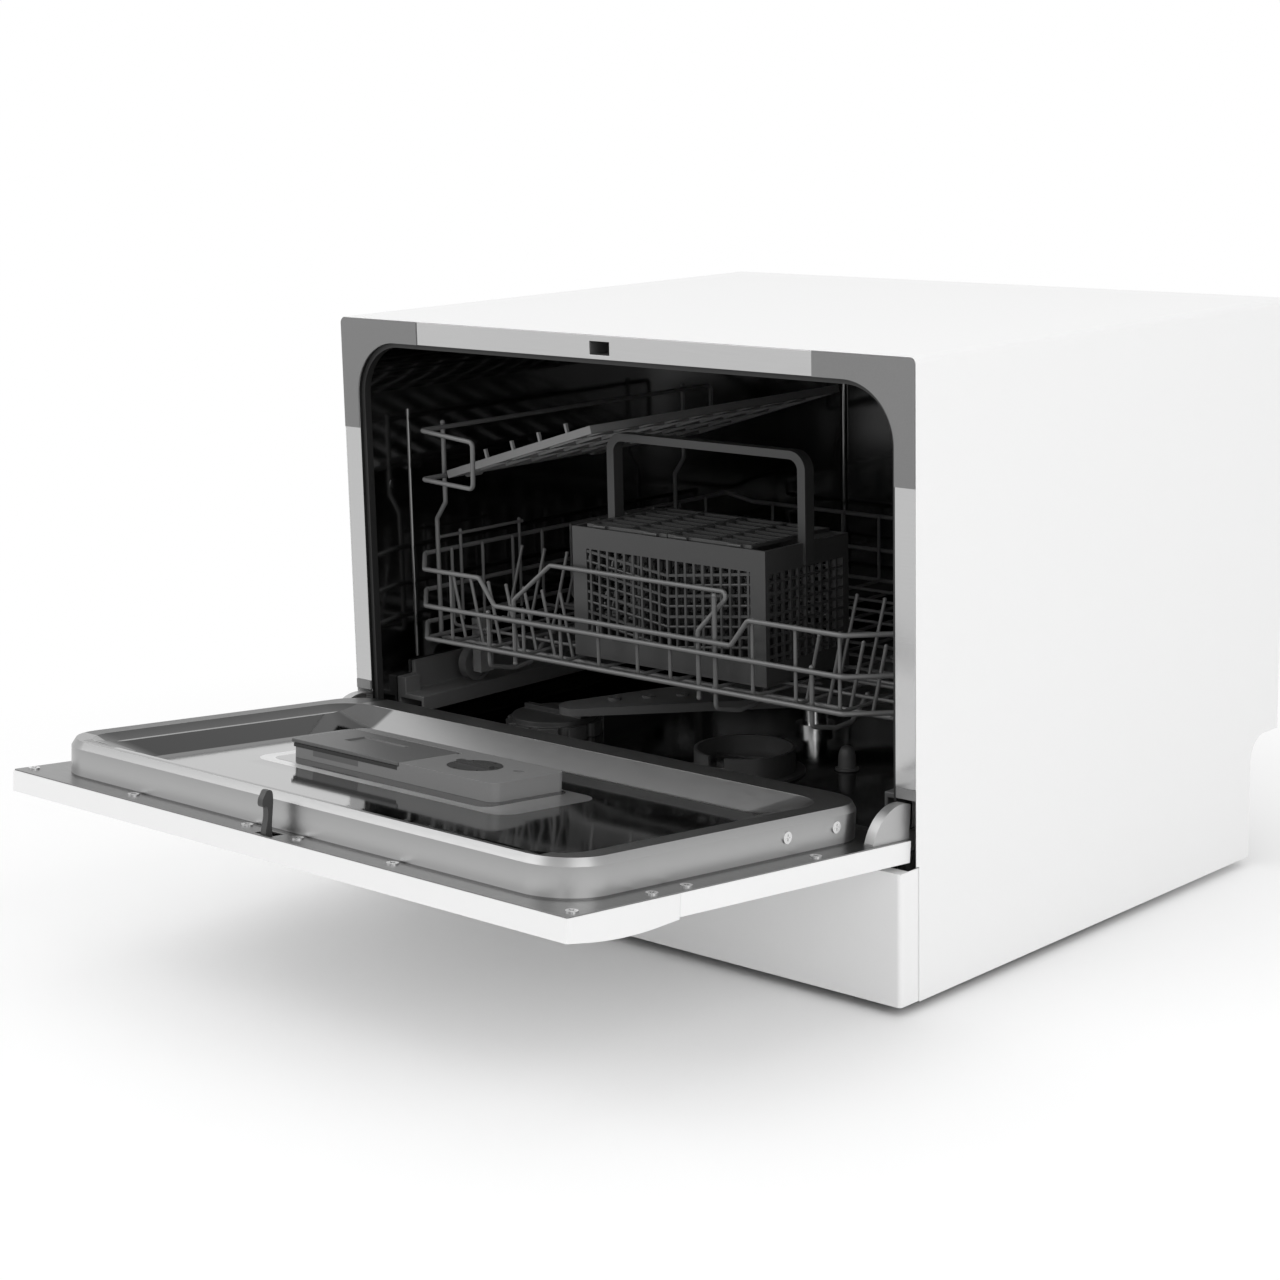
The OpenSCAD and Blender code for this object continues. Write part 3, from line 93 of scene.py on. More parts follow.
# Shader helpers
class Value:
    """A number that varies over a surface. Sums on it become Math nodes."""

    def __init__(self, shade, socket):
        self.shade = shade
        self.socket = socket

    def _join(self, operation, first, second):
        return self.shade.math(operation, first, second)

    def __add__(self, other):
        return self._join("ADD", self, other)

    __radd__ = __add__

    def __sub__(self, other):
        return self._join("SUBTRACT", self, other)

    def __rsub__(self, other):
        return self._join("SUBTRACT", other, self)

    def __mul__(self, other):
        return self._join("MULTIPLY", self, other)

    __rmul__ = __mul__

    def __truediv__(self, other):
        return self._join("DIVIDE", self, other)

    def above(self, level):
        return self._join("GREATER_THAN", self, level)

    def clamped(self):
        return self._join("MINIMUM", self._join("MAXIMUM", self, 0.0), 1.0)


class Shade:
    """One material with a short way to add nodes to it."""

    def __init__(self, name):
        self.material = bpy.data.materials.new(name)
        self.material.use_nodes = True
        self.tree = self.material.node_tree
        self.shader = self.tree.nodes["Principled BSDF"]

    @classmethod
    def over(cls, tree):
        """The same helpers over another shader tree, such as the world's."""
        shade = cls.__new__(cls)
        shade.tree = tree
        return shade

    def node(self, kind, settings=None, sockets=None):
        made = self.tree.nodes.new(kind)
        for name, setting in (settings or {}).items():
            setattr(made, name, setting)
        for name, value in (sockets or {}).items():
            self.plug(made.inputs[name], value)
        return made

    def plug(self, socket, value):
        if isinstance(value, Value):
            value = value.socket
        if isinstance(value, bpy.types.NodeSocket):
            self.tree.links.new(value, socket)
        else:
            socket.default_value = value

    def math(self, operation, first, second):
        made = self.node("ShaderNodeMath", {"operation": operation}, {0: first, 1: second})
        return Value(self, made.outputs[0])

    def set(self, **sockets):
        for name, value in sockets.items():
            self.plug(self.shader.inputs[name.replace("_", " ")], value)
        return self

    def place(self, scale=(1, 1, 1)):
        """Object coordinates, stretched."""
        where = self.node("ShaderNodeTexCoord").outputs["Object"]
        mapping = self.node("ShaderNodeMapping", {}, {"Vector": where, "Scale": scale})
        return mapping.outputs["Vector"]

    def noise(self, scale, detail=3.0, stretch=(1, 1, 1)):
        sockets = {"Vector": self.place(stretch), "Scale": scale, "Detail": detail}
        return Value(self, self.node("ShaderNodeTexNoise", {}, sockets).outputs[0])

    def bump(self, height, strength, distance):
        sockets = {"Height": height, "Strength": strength, "Distance": distance}
        self.set(Normal=self.node("ShaderNodeBump", {}, sockets).outputs[0])
        return self

    def between(self, factor, low, high):
        """A colour that runs from low to high with a factor."""
        made = self.node("ShaderNodeMix", {"data_type": "RGBA"})
        self.plug(made.inputs[0], factor)
        made.inputs[6].default_value = (*low, 1)
        made.inputs[7].default_value = (*high, 1)
        return made.outputs[2]


def seen_rays(shade):
    """1 for what the camera sees, straight, mirrored or through glass, and 0 for plain light."""
    path = shade.node("ShaderNodeLightPath").outputs
    camera, glossy, through = (
        Value(shade, path[name]) for name in ("Is Camera Ray", "Is Glossy Ray", "Is Transmission Ray")
    )
    return (camera + glossy + through).clamped()


def grey(level):
    return (level, level, level)


def painted(name, level, rough, grain=900.0):
    """Baked enamel or moulded plastic: an even colour with a faint orange peel."""
    shade = Shade(name)
    peel = shade.noise(grain, 2.0)
    shade.set(Base_Color=shade.between(peel, grey(level * 0.98), grey(level)))
    shade.set(Roughness=peel * 0.06 + rough)
    return shade.bump(peel, 0.15, 0.0001)


def plastic(name, level, rough, grain=1400.0, depth=0.0002):
    """Moulded plastic with a fine eroded texture."""
    shade = Shade(name)
    texture = shade.noise(grain, 4.0)
    shade.set(Base_Color=shade.between(texture, grey(level * 0.88), grey(level * 1.08)))
    shade.set(Roughness=texture * 0.12 + rough)
    return shade.bump(texture, 0.25, depth)


# Strength and depth, in metres, of the lines that rolling leaves in steel sheet
SHEET_BUMP = (0.08, 0.0001)


def steel(name, level, rough, stretch, grain, lines):
    """Rolled stainless sheet, with fine lines across the stretch."""
    shade = Shade(name)
    fine = shade.noise(grain, 6.0, stretch)
    cloud = shade.noise(9.0, 2.0)
    shade.set(Base_Color=shade.between(fine * 0.5 + cloud * 0.5, grey(level * 0.9), grey(level * 1.05)))
    shade.set(Metallic=1.0, Roughness=fine * lines + cloud * 0.08 + rough)
    return shade.bump(fine, *SHEET_BUMP)


# The liner's basin is polished and its rim satin, and its parts carry painted reflections and shade in their
# colour. The limits of its parts are in metres.
BASIN_HALF = 0.2235
BASIN_BACK = (-0.371, -0.112)
HINGE_SLOPE = -0.137
SIDE_SLOPE = -0.186
RIM_HIGH = 0.024
FLANGE_HIGH = 0.0012
TOP_FROM = 0.021
NOTCH_Y = -0.352
SOFT_STEP = 0.004

# The painted highlight along the edge of the raised field round the dispenser
LIP_HIGH = (0.0138, 0.0149)
LIP_BACK = (-0.31, -0.15)
LIP_HALF = 0.18

# How bright each part of the liner is, with painted reflections and shade: what a wall, the flange, the left
# rim or a slope takes away as painted shade, and what the hinge-side slope and an edge add as painted light
RIM_LEVEL = 0.52
WALL_PAINTED_SHADE = 0.2
FLANGE_PAINTED_SHADE = 0.3
LEFT_RIM_PAINTED_SHADE = 0.26
BASIN_LEVEL = 0.34
HINGE_SLOPE_PAINTED_LIGHT = 0.08
LEFT_SLOPE_PAINTED_SHADE = 0.31
LIP_PAINTED_HIGHLIGHT = 0.4
SATIN_ROUGH = 0.26
SATIN_SPREAD = 0.14
POLISHED_ROUGH = 0.07


def within(value, limits):
    """1 where a value lies between two limits."""
    return (value - limits[0]).above(0) * (limits[1] - value).above(0)


def liner_steel():
    """Drawn stainless sheet: mirror-like in the basin, satin on the rim and the flange, with painted
    reflections and shade in its colour.
    """
    shade = Shade("stainless liner")
    shade.set(Metallic=1.0)
    shade.bump(shade.noise(120.0, 6.0, (4, 1, 1)), *SHEET_BUMP)
    where = shade.node("ShaderNodeTexCoord").outputs["Object"]
    x, y, z = (Value(shade, part) for part in shade.node("ShaderNodeSeparateXYZ", {}, {0: where}).outputs)
    foot = on_door(0, 0, 0)
    high = (z - foot.z + (y - foot.y) * math.tan(DOOR_LIFT)) * math.cos(DOOR_LIFT)
    across = shade.math("ABSOLUTE", x, 0.0)
    basin = (BASIN_HALF - across).above(0) * within(y, BASIN_BACK)
    hinge_side = ((y - HINGE_SLOPE) / SOFT_STEP).clamped() * basin
    left_side = ((SIDE_SLOPE - x) / SOFT_STEP).clamped() * basin
    left_rim = (-BASIN_HALF - x).above(0) * (y - NOTCH_Y).above(0) * (high - TOP_FROM).above(0)
    lip = within(high, LIP_HIGH) * within(y, LIP_BACK) * (LIP_HALF - across).above(0)
    flange = (FLANGE_HIGH - high).above(0)
    wall = (high / RIM_HIGH).clamped()
    # Painted shade on the rim: darker towards the top of the wall, on the flange and on the left rim's top
    rim = RIM_LEVEL - wall * WALL_PAINTED_SHADE - flange * FLANGE_PAINTED_SHADE - left_rim * LEFT_RIM_PAINTED_SHADE
    # Painted light on the hinge-side slope, a painted highlight on the lip's edge and painted shade on the
    # basin's left slope
    floor = BASIN_LEVEL + hinge_side * HINGE_SLOPE_PAINTED_LIGHT - left_side * LEFT_SLOPE_PAINTED_SHADE + lip * LIP_PAINTED_HIGHLIGHT
    satin = shade.noise(90.0, 6.0, (1, 12, 12)) * SATIN_SPREAD + SATIN_ROUGH
    polish = basin - hinge_side - lip
    shade.set(Base_Color=rim + basin * (floor - rim))
    shade.set(Roughness=satin - polish * (satin - POLISHED_ROUGH))
    return shade


def finishes():
    """All the finishes, by the record's slot names."""
    return {
        "white_paint": painted("white enamel", level=0.78, rough=0.3),
        "white_plastic": painted("white moulding", level=0.76, rough=0.36, grain=1500.0),
        "brushed_frame": steel("brushed frame steel", 0.52, 0.08, (1, 1, 40), grain=30.0, lines=0.05),
        "tub_steel": steel("stainless tub", 0.2, 0.05, (4, 1, 1), grain=120.0, lines=0.04),
        "galvanised": steel("zinc-plated steel", 0.5, 0.38, (1, 1, 1), grain=160.0, lines=0.15),
        "bright_metal": steel("bright metal", 0.7, 0.12, (1, 1, 1), grain=200.0, lines=0.06),
        "grey_plastic": plastic("grey moulding", level=0.17, rough=0.42),
        "light_grey_plastic": plastic("slate moulding", level=0.09, rough=0.4),
        "dark_plastic": plastic("charcoal moulding", level=0.038, rough=0.38),
        "black_gloss": painted("smoked window", level=0.01, rough=0.08),
        "coated_wire": plastic("nylon-coated wire", level=0.12, rough=0.16, grain=2500.0, depth=0.0001),
        "seal_rubber": plastic("seal rubber", level=0.012, rough=0.5),
        "board": plastic("circuit board", level=0.06, rough=0.45),
    }


def added(name, data):
    """A new object in the scene."""
    made = bpy.data.objects.new(name, data)
    bpy.context.scene.collection.objects.link(made)
    return made


# Geometry Nodes helpers
class Growth:
    """A Geometry Nodes tree with named inputs, built node by node."""

    def __init__(self, name):
        self.tree = bpy.data.node_groups.new(name, "GeometryNodeTree")
        self.tree.interface.new_socket("Geometry", in_out="INPUT", socket_type="NodeSocketGeometry")
        self.tree.interface.new_socket("Geometry", in_out="OUTPUT", socket_type="NodeSocketGeometry")
        self.entry = self.tree.nodes.new("NodeGroupInput")
        self.exit = self.tree.nodes.new("NodeGroupOutput")
        self.ids = {}

    def ask(self, name, kind):
        """A named input of the tree, as a socket to plug elsewhere."""
        item = self.tree.interface.new_socket(name, in_out="INPUT", socket_type="NodeSocket" + kind)
        self.ids[name] = item.identifier
        return self.entry.outputs[name]

    def node(self, kind, settings=None, sockets=None):
        made = self.tree.nodes.new(kind)
        for name, setting in (settings or {}).items():
            setattr(made, name, setting)
        for name, value in (sockets or {}).items():
            if isinstance(value, bpy.types.NodeSocket):
                self.tree.links.new(value, made.inputs[name])
            else:
                made.inputs[name].default_value = value
        return made

    def attribute(self, name):
        return self.node("GeometryNodeInputNamedAttribute", {"data_type": "FLOAT"}, {"Name": name}).outputs[0]

    def join(self, *parts):
        made = self.node("GeometryNodeJoinGeometry")
        for part in parts:
            self.tree.links.new(part, made.inputs[0])
        return made.outputs[0]

    def close(self, geometry, material):
        """Ends the tree in real geometry with one material."""
        real = self.node("GeometryNodeRealizeInstances", {}, {"Geometry": geometry})
        last = self.node("GeometryNodeSetMaterial", {}, {"Geometry": real.outputs[0], "Material": material})
        self.tree.links.new(last.outputs[0], self.exit.inputs[0])

    def bake(self, name, mesh, **values):
        """Runs the tree on a mesh and gives the result as a plain object."""
        seed = added(name, mesh)
        modifier = seed.modifiers.new(name, "NODES")
        modifier.node_group = self.tree
        for key, value in values.items():
            modifier[self.ids[key]] = value
        depsgraph = bpy.context.evaluated_depsgraph_get()
        baked = bpy.data.meshes.new_from_object(seed.evaluated_get(depsgraph))
        seed.modifiers.clear()
        seed.data = baked
        return seed


def path_mesh(name, paths):
    """Edges along each path, with the wire's radius on every point. A path is points, radius, closed."""
    points = []
    edges = []
    radii = []
    for path, radius, closed in paths:
        first = len(points)
        points.extend(placed(*point) for point in path)
        radii.extend([radius * MM] * len(path))
        edges.extend((first + i, first + i + 1) for i in range(len(path) - 1))
        if closed:
            edges.append((len(points) - 1, first))
    mesh = bpy.data.meshes.new(name)
    mesh.from_pydata(points, edges, [])
    mesh.attributes.new("radius", "FLOAT", "POINT").data.foreach_set("value", radii)
    return mesh


# Points on each bend, and rings of faces on each bead
BEND_STEPS = 4
BEAD_RINGS = 6


def wire_tree(material):
    """Wires along a mesh's edges: rounded bends, round section, a bead on each free end."""
    tree = Growth("bent wires")
    bend = tree.ask("Bend", "Float")
    sides = tree.ask("Sides", "Int")
    bead = tree.ask("Bead", "Float")
    radius = tree.attribute("radius")
    curve = tree.node("GeometryNodeMeshToCurve", {}, {"Mesh": tree.entry.outputs[0]})
    round_bends = tree.node("GeometryNodeFilletCurve", {"mode": "POLY"}, {
        "Curve": curve.outputs[0], "Count": BEND_STEPS, "Radius": bend, "Limit Radius": True,
    })
    profile = tree.node("GeometryNodeCurvePrimitiveCircle", {}, {"Resolution": sides, "Radius": 1.0})
    skin = tree.node("GeometryNodeCurveToMesh", {}, {
        "Curve": round_bends.outputs[0], "Profile Curve": profile.outputs[0],
        "Scale": radius, "Fill Caps": True,
    })
    ends = tree.node("GeometryNodeCurveEndpointSelection")
    ball = tree.node("GeometryNodeMeshUVSphere", {}, {"Segments": sides, "Rings": BEAD_RINGS, "Radius": 1.0})
    wide = tree.node("ShaderNodeMath", {"operation": "MULTIPLY"}, {0: radius, 1: bead})
    beads = tree.node("GeometryNodeInstanceOnPoints", {}, {
        "Points": round_bends.outputs[0], "Selection": ends.outputs[0],
        "Instance": ball.outputs[0], "Scale": wide.outputs[0],
    })
    real = tree.node("GeometryNodeRealizeInstances", {}, {"Geometry": beads.outputs[0]})
    both = tree.join(skin.outputs[0], real.outputs[0])
    smooth = tree.node("GeometryNodeSetShadeSmooth", {}, {"Geometry": both})
    tree.close(smooth.outputs[0], material)
    return tree


def bar_tree(material):
    """Flat bars along a mesh's edges, repeated upwards."""
    tree = Growth("basket bars")
    rows = tree.ask("Rows", "Int")
    step = tree.ask("Step", "Vector")
    wide = tree.ask("Wide", "Float")
    high = tree.ask("High", "Float")
    curve = tree.node("GeometryNodeMeshToCurve", {}, {"Mesh": tree.entry.outputs[0]})
    profile = tree.node("GeometryNodeCurvePrimitiveQuadrilateral", {}, {"Width": wide, "Height": high})
    bar = tree.node("GeometryNodeCurveToMesh", {}, {
        "Curve": curve.outputs[0], "Profile Curve": profile.outputs[0], "Fill Caps": True,
    })
    line = tree.node("GeometryNodeMeshLine", {}, {"Count": rows, "Offset": step})
    copies = tree.node("GeometryNodeInstanceOnPoints", {}, {
        "Points": line.outputs[0], "Instance": bar.outputs[0],
    })
    tree.close(copies.outputs[0], material)
    return tree


# The rack's wires, in millimetres
RACK_HALF = 240.0
RACK_FRONT = 30.0
RACK_BACK = 426.0
RACK_CUT = 50.0
RACK_CORNER = 16.0
SIDE_RISE = 8.5
FLOOR_Z = 186.0
MID_Z = 212.0
TOP_Z = 241.0
DIP_Z = 221.0
WIRE = 1.9
THIN = 1.4
LONG_GAP = 39.0
CROSS_GAP = 34.0
FIRST_LEFT = -RACK_HALF + 42
FIRST_RIGHT = RACK_HALF - 55
CROSS_FIRST = 8.0
CROSS_LAST = 20.0
SECOND_LAYER = 2.4
DIP_X = ((-163, -147), (90, 106))
SHELF_X = -222.0
SHELF_Z = 312.0
SHELF_TOP = 350.0
SHELF_BACK = 370.0
CARRIER_Y = 57.0
CARRIER_Z = 181.45
REAR_CARRIER_Y = 338.0
SET_IN = WIRE + THIN + 0.05
SLANT = 1.414
BESIDE_SKID = 5
KNEE_LOW = SHELF_Z - 36
KNEE_HIGH = SHELF_Z - 22

# Skids: place across and top of the front leg, then depth and drop of each bend under the floor
SKIDS = ((-158, 214), (72, 254), (160, 214))
REAR_LEG_TOP = 214
SKID_BENDS = ((3.75, -14), (30, -20), (48, -19), (66, -3))

# Tines: height of the front row, and foot, height and gap of the rows behind it
FRONT_TINE_TOP = 231
FRONT_TINE_LEAN = 12
BACK_TINE_FOOT = 191.15
BACK_TINE_TOP = 248
BACK_TINE_GAP = 25
BACK_TINE_ROWS = 4
BACK_TINE_FIELDS = ((122, RACK_HALF - 6), (-RACK_HALF + 24, -100))


def hoop(z, dip=()):
    """One hoop of the rack, with its left side a little higher."""
    half, front, back, cut, corner = RACK_HALF, RACK_FRONT, RACK_BACK, RACK_CUT, RACK_CORNER
    high = z + SIDE_RISE
    return [
        (-half, front + corner, high), (-half + corner, front, z), *dip,
        (half - cut, front, z), (half, front + cut, z), (half, back - cut, z), (half - cut, back, z),
        (-half + corner, back, z), (-half, back - corner, high),
    ]


def cut_at(y):
    """How far the cross wires end inside the rack's side at a depth, more where a corner is clipped."""
    cut = max(0.0, RACK_FRONT + RACK_CUT - y, y - RACK_BACK + RACK_CUT)
    return cut + SET_IN * (SLANT if cut else 1.0)


def long_wires():
    """Floor wires that run from front to back and turn up at both ends, apart from those beside a skid."""
    left = [FIRST_LEFT + i * LONG_GAP for i in range(6)]
    right = [FIRST_RIGHT - i * LONG_GAP for i in range(5)]
    front = RACK_FRONT + SET_IN
    back = RACK_BACK - SET_IN
    for x in left + right:
        top = DIP_Z if DIP_X[0][1] < x < DIP_X[1][0] else TOP_Z
        if min(abs(x - skid) for skid, _ in SKIDS) < BESIDE_SKID:
            yield [(x, front + 3, FLOOR_Z), (x, back - 3, FLOOR_Z)]
        else:
            yield [(x, front, top), (x, front, FLOOR_Z), (x, back, FLOOR_Z), (x, back, TOP_Z)]


def cross_wires():
    """Floor wires that run across and turn up at both sides."""
    left = -RACK_HALF + SET_IN
    low = FLOOR_Z + SECOND_LAYER
    y = RACK_FRONT + CROSS_GAP + CROSS_FIRST
    while y <= RACK_BACK - CROSS_LAST:
        right = RACK_HALF - cut_at(y)
        yield [(left, y, TOP_Z + SIDE_RISE), (left, y, low), (right, y, low), (right, y, TOP_Z)]
        y += CROSS_GAP


def skid_wires():
    """Skids under the floor, whose front legs go on up behind the hoops."""
    leg = SKID_BENDS[0][0]
    bends = [(depth, FLOOR_Z + drop) for depth, drop in SKID_BENDS]
    for x, top in SKIDS:
        yield [(x, RACK_FRONT + y, z) for y, z in [(leg, top), *bends]]
        yield [(x, RACK_BACK - y, z) for y, z in [(leg, REAR_LEG_TOP), *bends]]


def front_tines():
    """Leaning tines on the carrier wire under the front of the floor."""
    half_gap = LONG_GAP / 2
    rows = ((FIRST_LEFT, half_gap, 7, -FRONT_TINE_LEAN), (FIRST_RIGHT, -half_gap, 4, FRONT_TINE_LEAN))
    for start, step, count, lean in rows:
        for i in range(count):
            x = start + (i - 0.5) * step
            yield [(x, CARRIER_Y, CARRIER_Z), (x + lean, CARRIER_Y, FRONT_TINE_TOP)]


def back_tines():
    """Rows of tines that stand on carrier wires on the rack's floor."""
    foot = BACK_TINE_FOOT
    for row in range(BACK_TINE_ROWS):
        y = RACK_FRONT + CROSS_FIRST + 2 * CROSS_GAP * (row + 1)
        for start, end in BACK_TINE_FIELDS:
            yield [(start, y, foot), (end, y, foot)]
            x = start + 6
            while x <= end:
                yield [(x, y, foot), (x + 6, y + 12, BACK_TINE_TOP)]
                x += BACK_TINE_GAP


def bracket_wires():
    """The carrier wire in front with the two uprights that hold the cup shelf's bracket."""
    side = SHELF_X - 2 * WIRE
    foot = -RACK_HALF + 2 * WIRE
    for y in (CARRIER_Y, REAR_CARRIER_Y):
        upright = [
            (foot, y, CARRIER_Z), (foot, y, KNEE_LOW), (side, y, KNEE_HIGH), (side, y, SHELF_TOP + 3),
        ]
        if y == CARRIER_Y:
            upright.insert(0, (RACK_HALF - 28, y, CARRIER_Z))
        yield upright


def shelf_bracket():
    """The bent wire that the cup shelf hangs on."""
    x = SHELF_X
    return [
        (x, SHELF_BACK, SHELF_TOP), (x, RACK_FRONT, SHELF_TOP), (x + 57, RACK_FRONT, SHELF_TOP - 5),
        (x + 56, RACK_FRONT, SHELF_Z - 3), (x, RACK_FRONT, SHELF_Z), (x, SHELF_BACK, SHELF_Z),
    ]


def front_dip():
    """The top hoop's low stretch in front of the cutlery basket."""
    (left_out, left_in), (right_in, right_out) = DIP_X
    y = RACK_FRONT
    return [(left_out, y, TOP_Z), (left_in, y, DIP_Z), (right_in, y, DIP_Z), (right_out, y, TOP_Z)]


def side_rails():
    """The straight wires that the wheel clips hold."""
    x = RACK_HALF - 11
    z = FLOOR_Z - 0.8
    for across, gap in ((-x, 5), (x, 39)):
        yield [(across, RACK_FRONT + gap, z), (across, RACK_BACK - gap, z)]


def basket_loop():
    """The loop that the cutlery basket leans on."""
    y = RACK_FRONT + SKID_BENDS[0][0]
    return [(-130, y, 178), (-130, y, 227), (-98, y + 8, 256), (81, y + 8, 256), (56, y, 227), (56, y, 178)]


def side_fence():
    """A rail with two posts on the rack's left side."""
    x = -RACK_HALF + SET_IN
    yield [(x, 60, 261), (x, 151, 261)]
    for y in (82, 148):
        yield [(x, y, 192), (x, y, 263)]


def rack_paths():
    """Every wire of the rack, as points, radius and whether it closes."""
    closed = (hoop(FLOOR_Z), hoop(MID_Z), hoop(TOP_Z, front_dip()), shelf_bracket())
    paths = [(path, WIRE, True) for path in closed]
    bent = (*side_rails(), basket_loop(), *skid_wires())
    paths.extend((path, WIRE - 0.1, False) for path in bent)
    paths.extend((path, WIRE, False) for path in bracket_wires())
    for group in (long_wires, cross_wires, front_tines, back_tines, side_fence):
        paths.extend((path, THIN, False) for path in group())
    return paths


# The dispenser's front in the door's own frame, in millimetres
DISPENSER_LEFT = -133.0
DISPENSER_FRONT = -183.0
DISPENSER_TOP = 28.0
LID_LONG = 111.0
NOTCH_LEFT = -109.0
NOTCH_LONG = 46.0
TRIM_DEEP = 2.0
# The seal also stands in for the shadow in the gap under the lid, and the band below it is painted shade over
# the notch
SEAL_PROUD = 0.15
SEAL_BELOW = (-5.4, -2.8)
NOTCH_SHADE_PROUD = 0.05
NOTCH_SHADE_BELOW = (-9.4, -5.4)


def door_box(x, y, z):
    """A box on the door between pairs of limits, as points and faces."""
    points = [on_door(a, b, c) for c in z for b in y for a in x]
    faces = [(0, 2, 3, 1), (4, 5, 7, 6), (0, 1, 5, 4), (2, 6, 7, 3), (0, 4, 6, 2), (1, 3, 7, 5)]
    return points, faces


# The latch hook in the door's own frame, in millimetres: Y from the pivot, Z from the liner's flange
HOOK_Y = -314.25
HOOK_LEFT = -5.0
HOOK_WIDE = 5.0
CORNER_CUT = 0.2
HOOK_OUTLINE = (
    (6.5, -8), (-2.4, -8), (-2.8, 0), (-1.8, 5), (-0.6, 11), (-0.8, 17), (-2.4, 18.6),
    (-4.6, 18), (-5.6, 20), (-5.2, 23.5), (-3.4, 26.5), (-2.2, 28.8), (1.2, 29),
    (2.8, 27), (3.4, 22), (3.0, 14), (2.6, 6), (3.2, -2), (6.5, -4),
)


def smooth_outline(points, times):
    """A closed outline with its corners cut off a few times."""
    for _ in range(times):
        cut = []
        for i, point in enumerate(points):
            after = points[(i + 1) % len(points)]
            for share in (CORNER_CUT, 1 - CORNER_CUT):
                cut.append(tuple(a + (b - a) * share for a, b in zip(point, after)))
        points = cut
    return points


def slab(name, outline, start, width):
    """A plate across the door with an outline in its YZ plane."""
    count = len(outline)
    points = [on_door(x, HOOK_Y + y, z) for x in (start, start + width) for y, z in outline]
    sides = [(i, (i + 1) % count, (i + 1) % count + count, i + count) for i in range(count)]
    caps = [tuple(reversed(range(count))), tuple(range(count, 2 * count))]
    mesh = bpy.data.meshes.new(name)
    mesh.from_pydata(points, [], sides + caps)
    shape = bmesh.new()
    shape.from_mesh(mesh)
    bmesh.ops.recalc_face_normals(shape, faces=shape.faces)
    shape.to_mesh(mesh)
    shape.free()
    return mesh


# The basket's finer bars, in millimetres
BASKET_X = 15.5
BASKET_Y = 46.0
BASKET_Z = 189.9
BASKET_HALF = 93.5
BASKET_DEPTH = 94.0
BAR_THICK = 1.8
BAR_ROWS = 4
BAR_STEP = 15.2
BAR_FALL = BASKET_HALF * math.tan(math.radians(7))
LOWEST_BAR = BASKET_Z + 28.65
IN_WALL = 1.2


def basket_paths():
    """One row of cross bars round the basket and along its dividers, low in the middle of each long wall."""
    high = LOWEST_BAR
    left = BASKET_X - BASKET_HALF
    right = BASKET_X + BASKET_HALF
    front = BASKET_Y
    back = BASKET_Y + BASKET_DEPTH
    third = BASKET_HALF / 3
    rows = []
    for y in (front + IN_WALL, back - IN_WALL):
        rows.append([(left + 1, y, high), (BASKET_X, y, high - BAR_FALL), (right - 1, y, high)])
    dividers = (BASKET_X - third + IN_WALL, BASKET_X + third + IN_WALL)
    for x in (left + IN_WALL, *dividers, right - IN_WALL):
        rows.append([(x, front + 3, high), (x, back - 3, high)])
    return [(path, 1.0, False) for path in rows]


class DishwasherSettings(bpy.types.PropertyGroup):
    """Sizes and colours that a user may change."""

    bend: bpy.props.FloatProperty(
        name="Bend", description="Radius of the wires' bends", default=0.004,
        subtype="DISTANCE", unit="LENGTH",
    )
    wire_sides: bpy.props.IntProperty(name="Wire sides", description="Facets round a wire", default=12)
    bead: bpy.props.FloatProperty(
        name="Bead", description="Size of the beads on free wire ends, against the wire", default=1.15,
        subtype="FACTOR",
    )
    edge: bpy.props.FloatProperty(
        name="Edge", description="Width of the softened edges", default=0.0008,
        subtype="DISTANCE", unit="LENGTH",
    )
    backdrop: bpy.props.FloatVectorProperty(
        name="Backdrop", description="Colour behind the machine", default=(1, 1, 1),
        subtype="COLOR", min=0, max=1,
    )
    dome: bpy.props.FloatProperty(
        name="Dome", description="Strength of the light from all round", default=0.8,
    )
    floor_size: bpy.props.FloatProperty(
        name="Floor size", description="Width of the square floor", default=12.0,
        subtype="DISTANCE", unit="LENGTH",
    )


# Pieces whose finish differs a little from the others of their slot; the liner's carries painted reflections
# and shade
OWN_FINISH = {"door_liner": "liner", "latch_catch": "light_grey_plastic"}


class DISHWASHER_OT_finishes(bpy.types.Operator):
    """Gives every solid of the machine its finish"""

    bl_idname = "dishwasher.finishes"
    bl_label = "Finishes"

    def execute(self, context):
        made = finishes()
        made["liner"] = liner_steel()
        for node, slot in SLOT_OF.items():
            mesh = NODES[node].data
            mesh.materials.clear()
            mesh.materials.append(made[OWN_FINISH.get(node, slot)].material)
        return {"FINISHED"}


class DISHWASHER_OT_wires(bpy.types.Operator):
    """Draws the rack's wires with rounded bends"""

    bl_idname = "dishwasher.wires"
    bl_label = "Wires"

    def execute(self, context):
        settings = context.scene.dishwasher
        tree = wire_tree(bpy.data.materials["nylon-coated wire"])
        wires = tree.bake(
            "rack_wires", path_mesh("rack_wires", rack_paths()),
            Bend=settings.bend, Sides=settings.wire_sides, Bead=settings.bead,
        )
        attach(wires, "rack")
        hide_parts("rack", "rack_grid", "shelf_bracket", "rack_tines")
        return {"FINISHED"}


class DISHWASHER_OT_basket(bpy.types.Operator):
    """Adds the finer cross bars of the cutlery basket"""

    bl_idname = "dishwasher.basket"
    bl_label = "Basket bars"

    def execute(self, context):
        tree = bar_tree(bpy.data.materials["charcoal moulding"])
        bars = tree.bake(
            "basket_bars", path_mesh("basket_bars", basket_paths()),
            Rows=BAR_ROWS, Step=(0.0, 0.0, BAR_STEP * MM), Wide=BAR_THICK * MM, High=BAR_THICK * MM,
        )
        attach(bars, "rack")
        return {"FINISHED"}


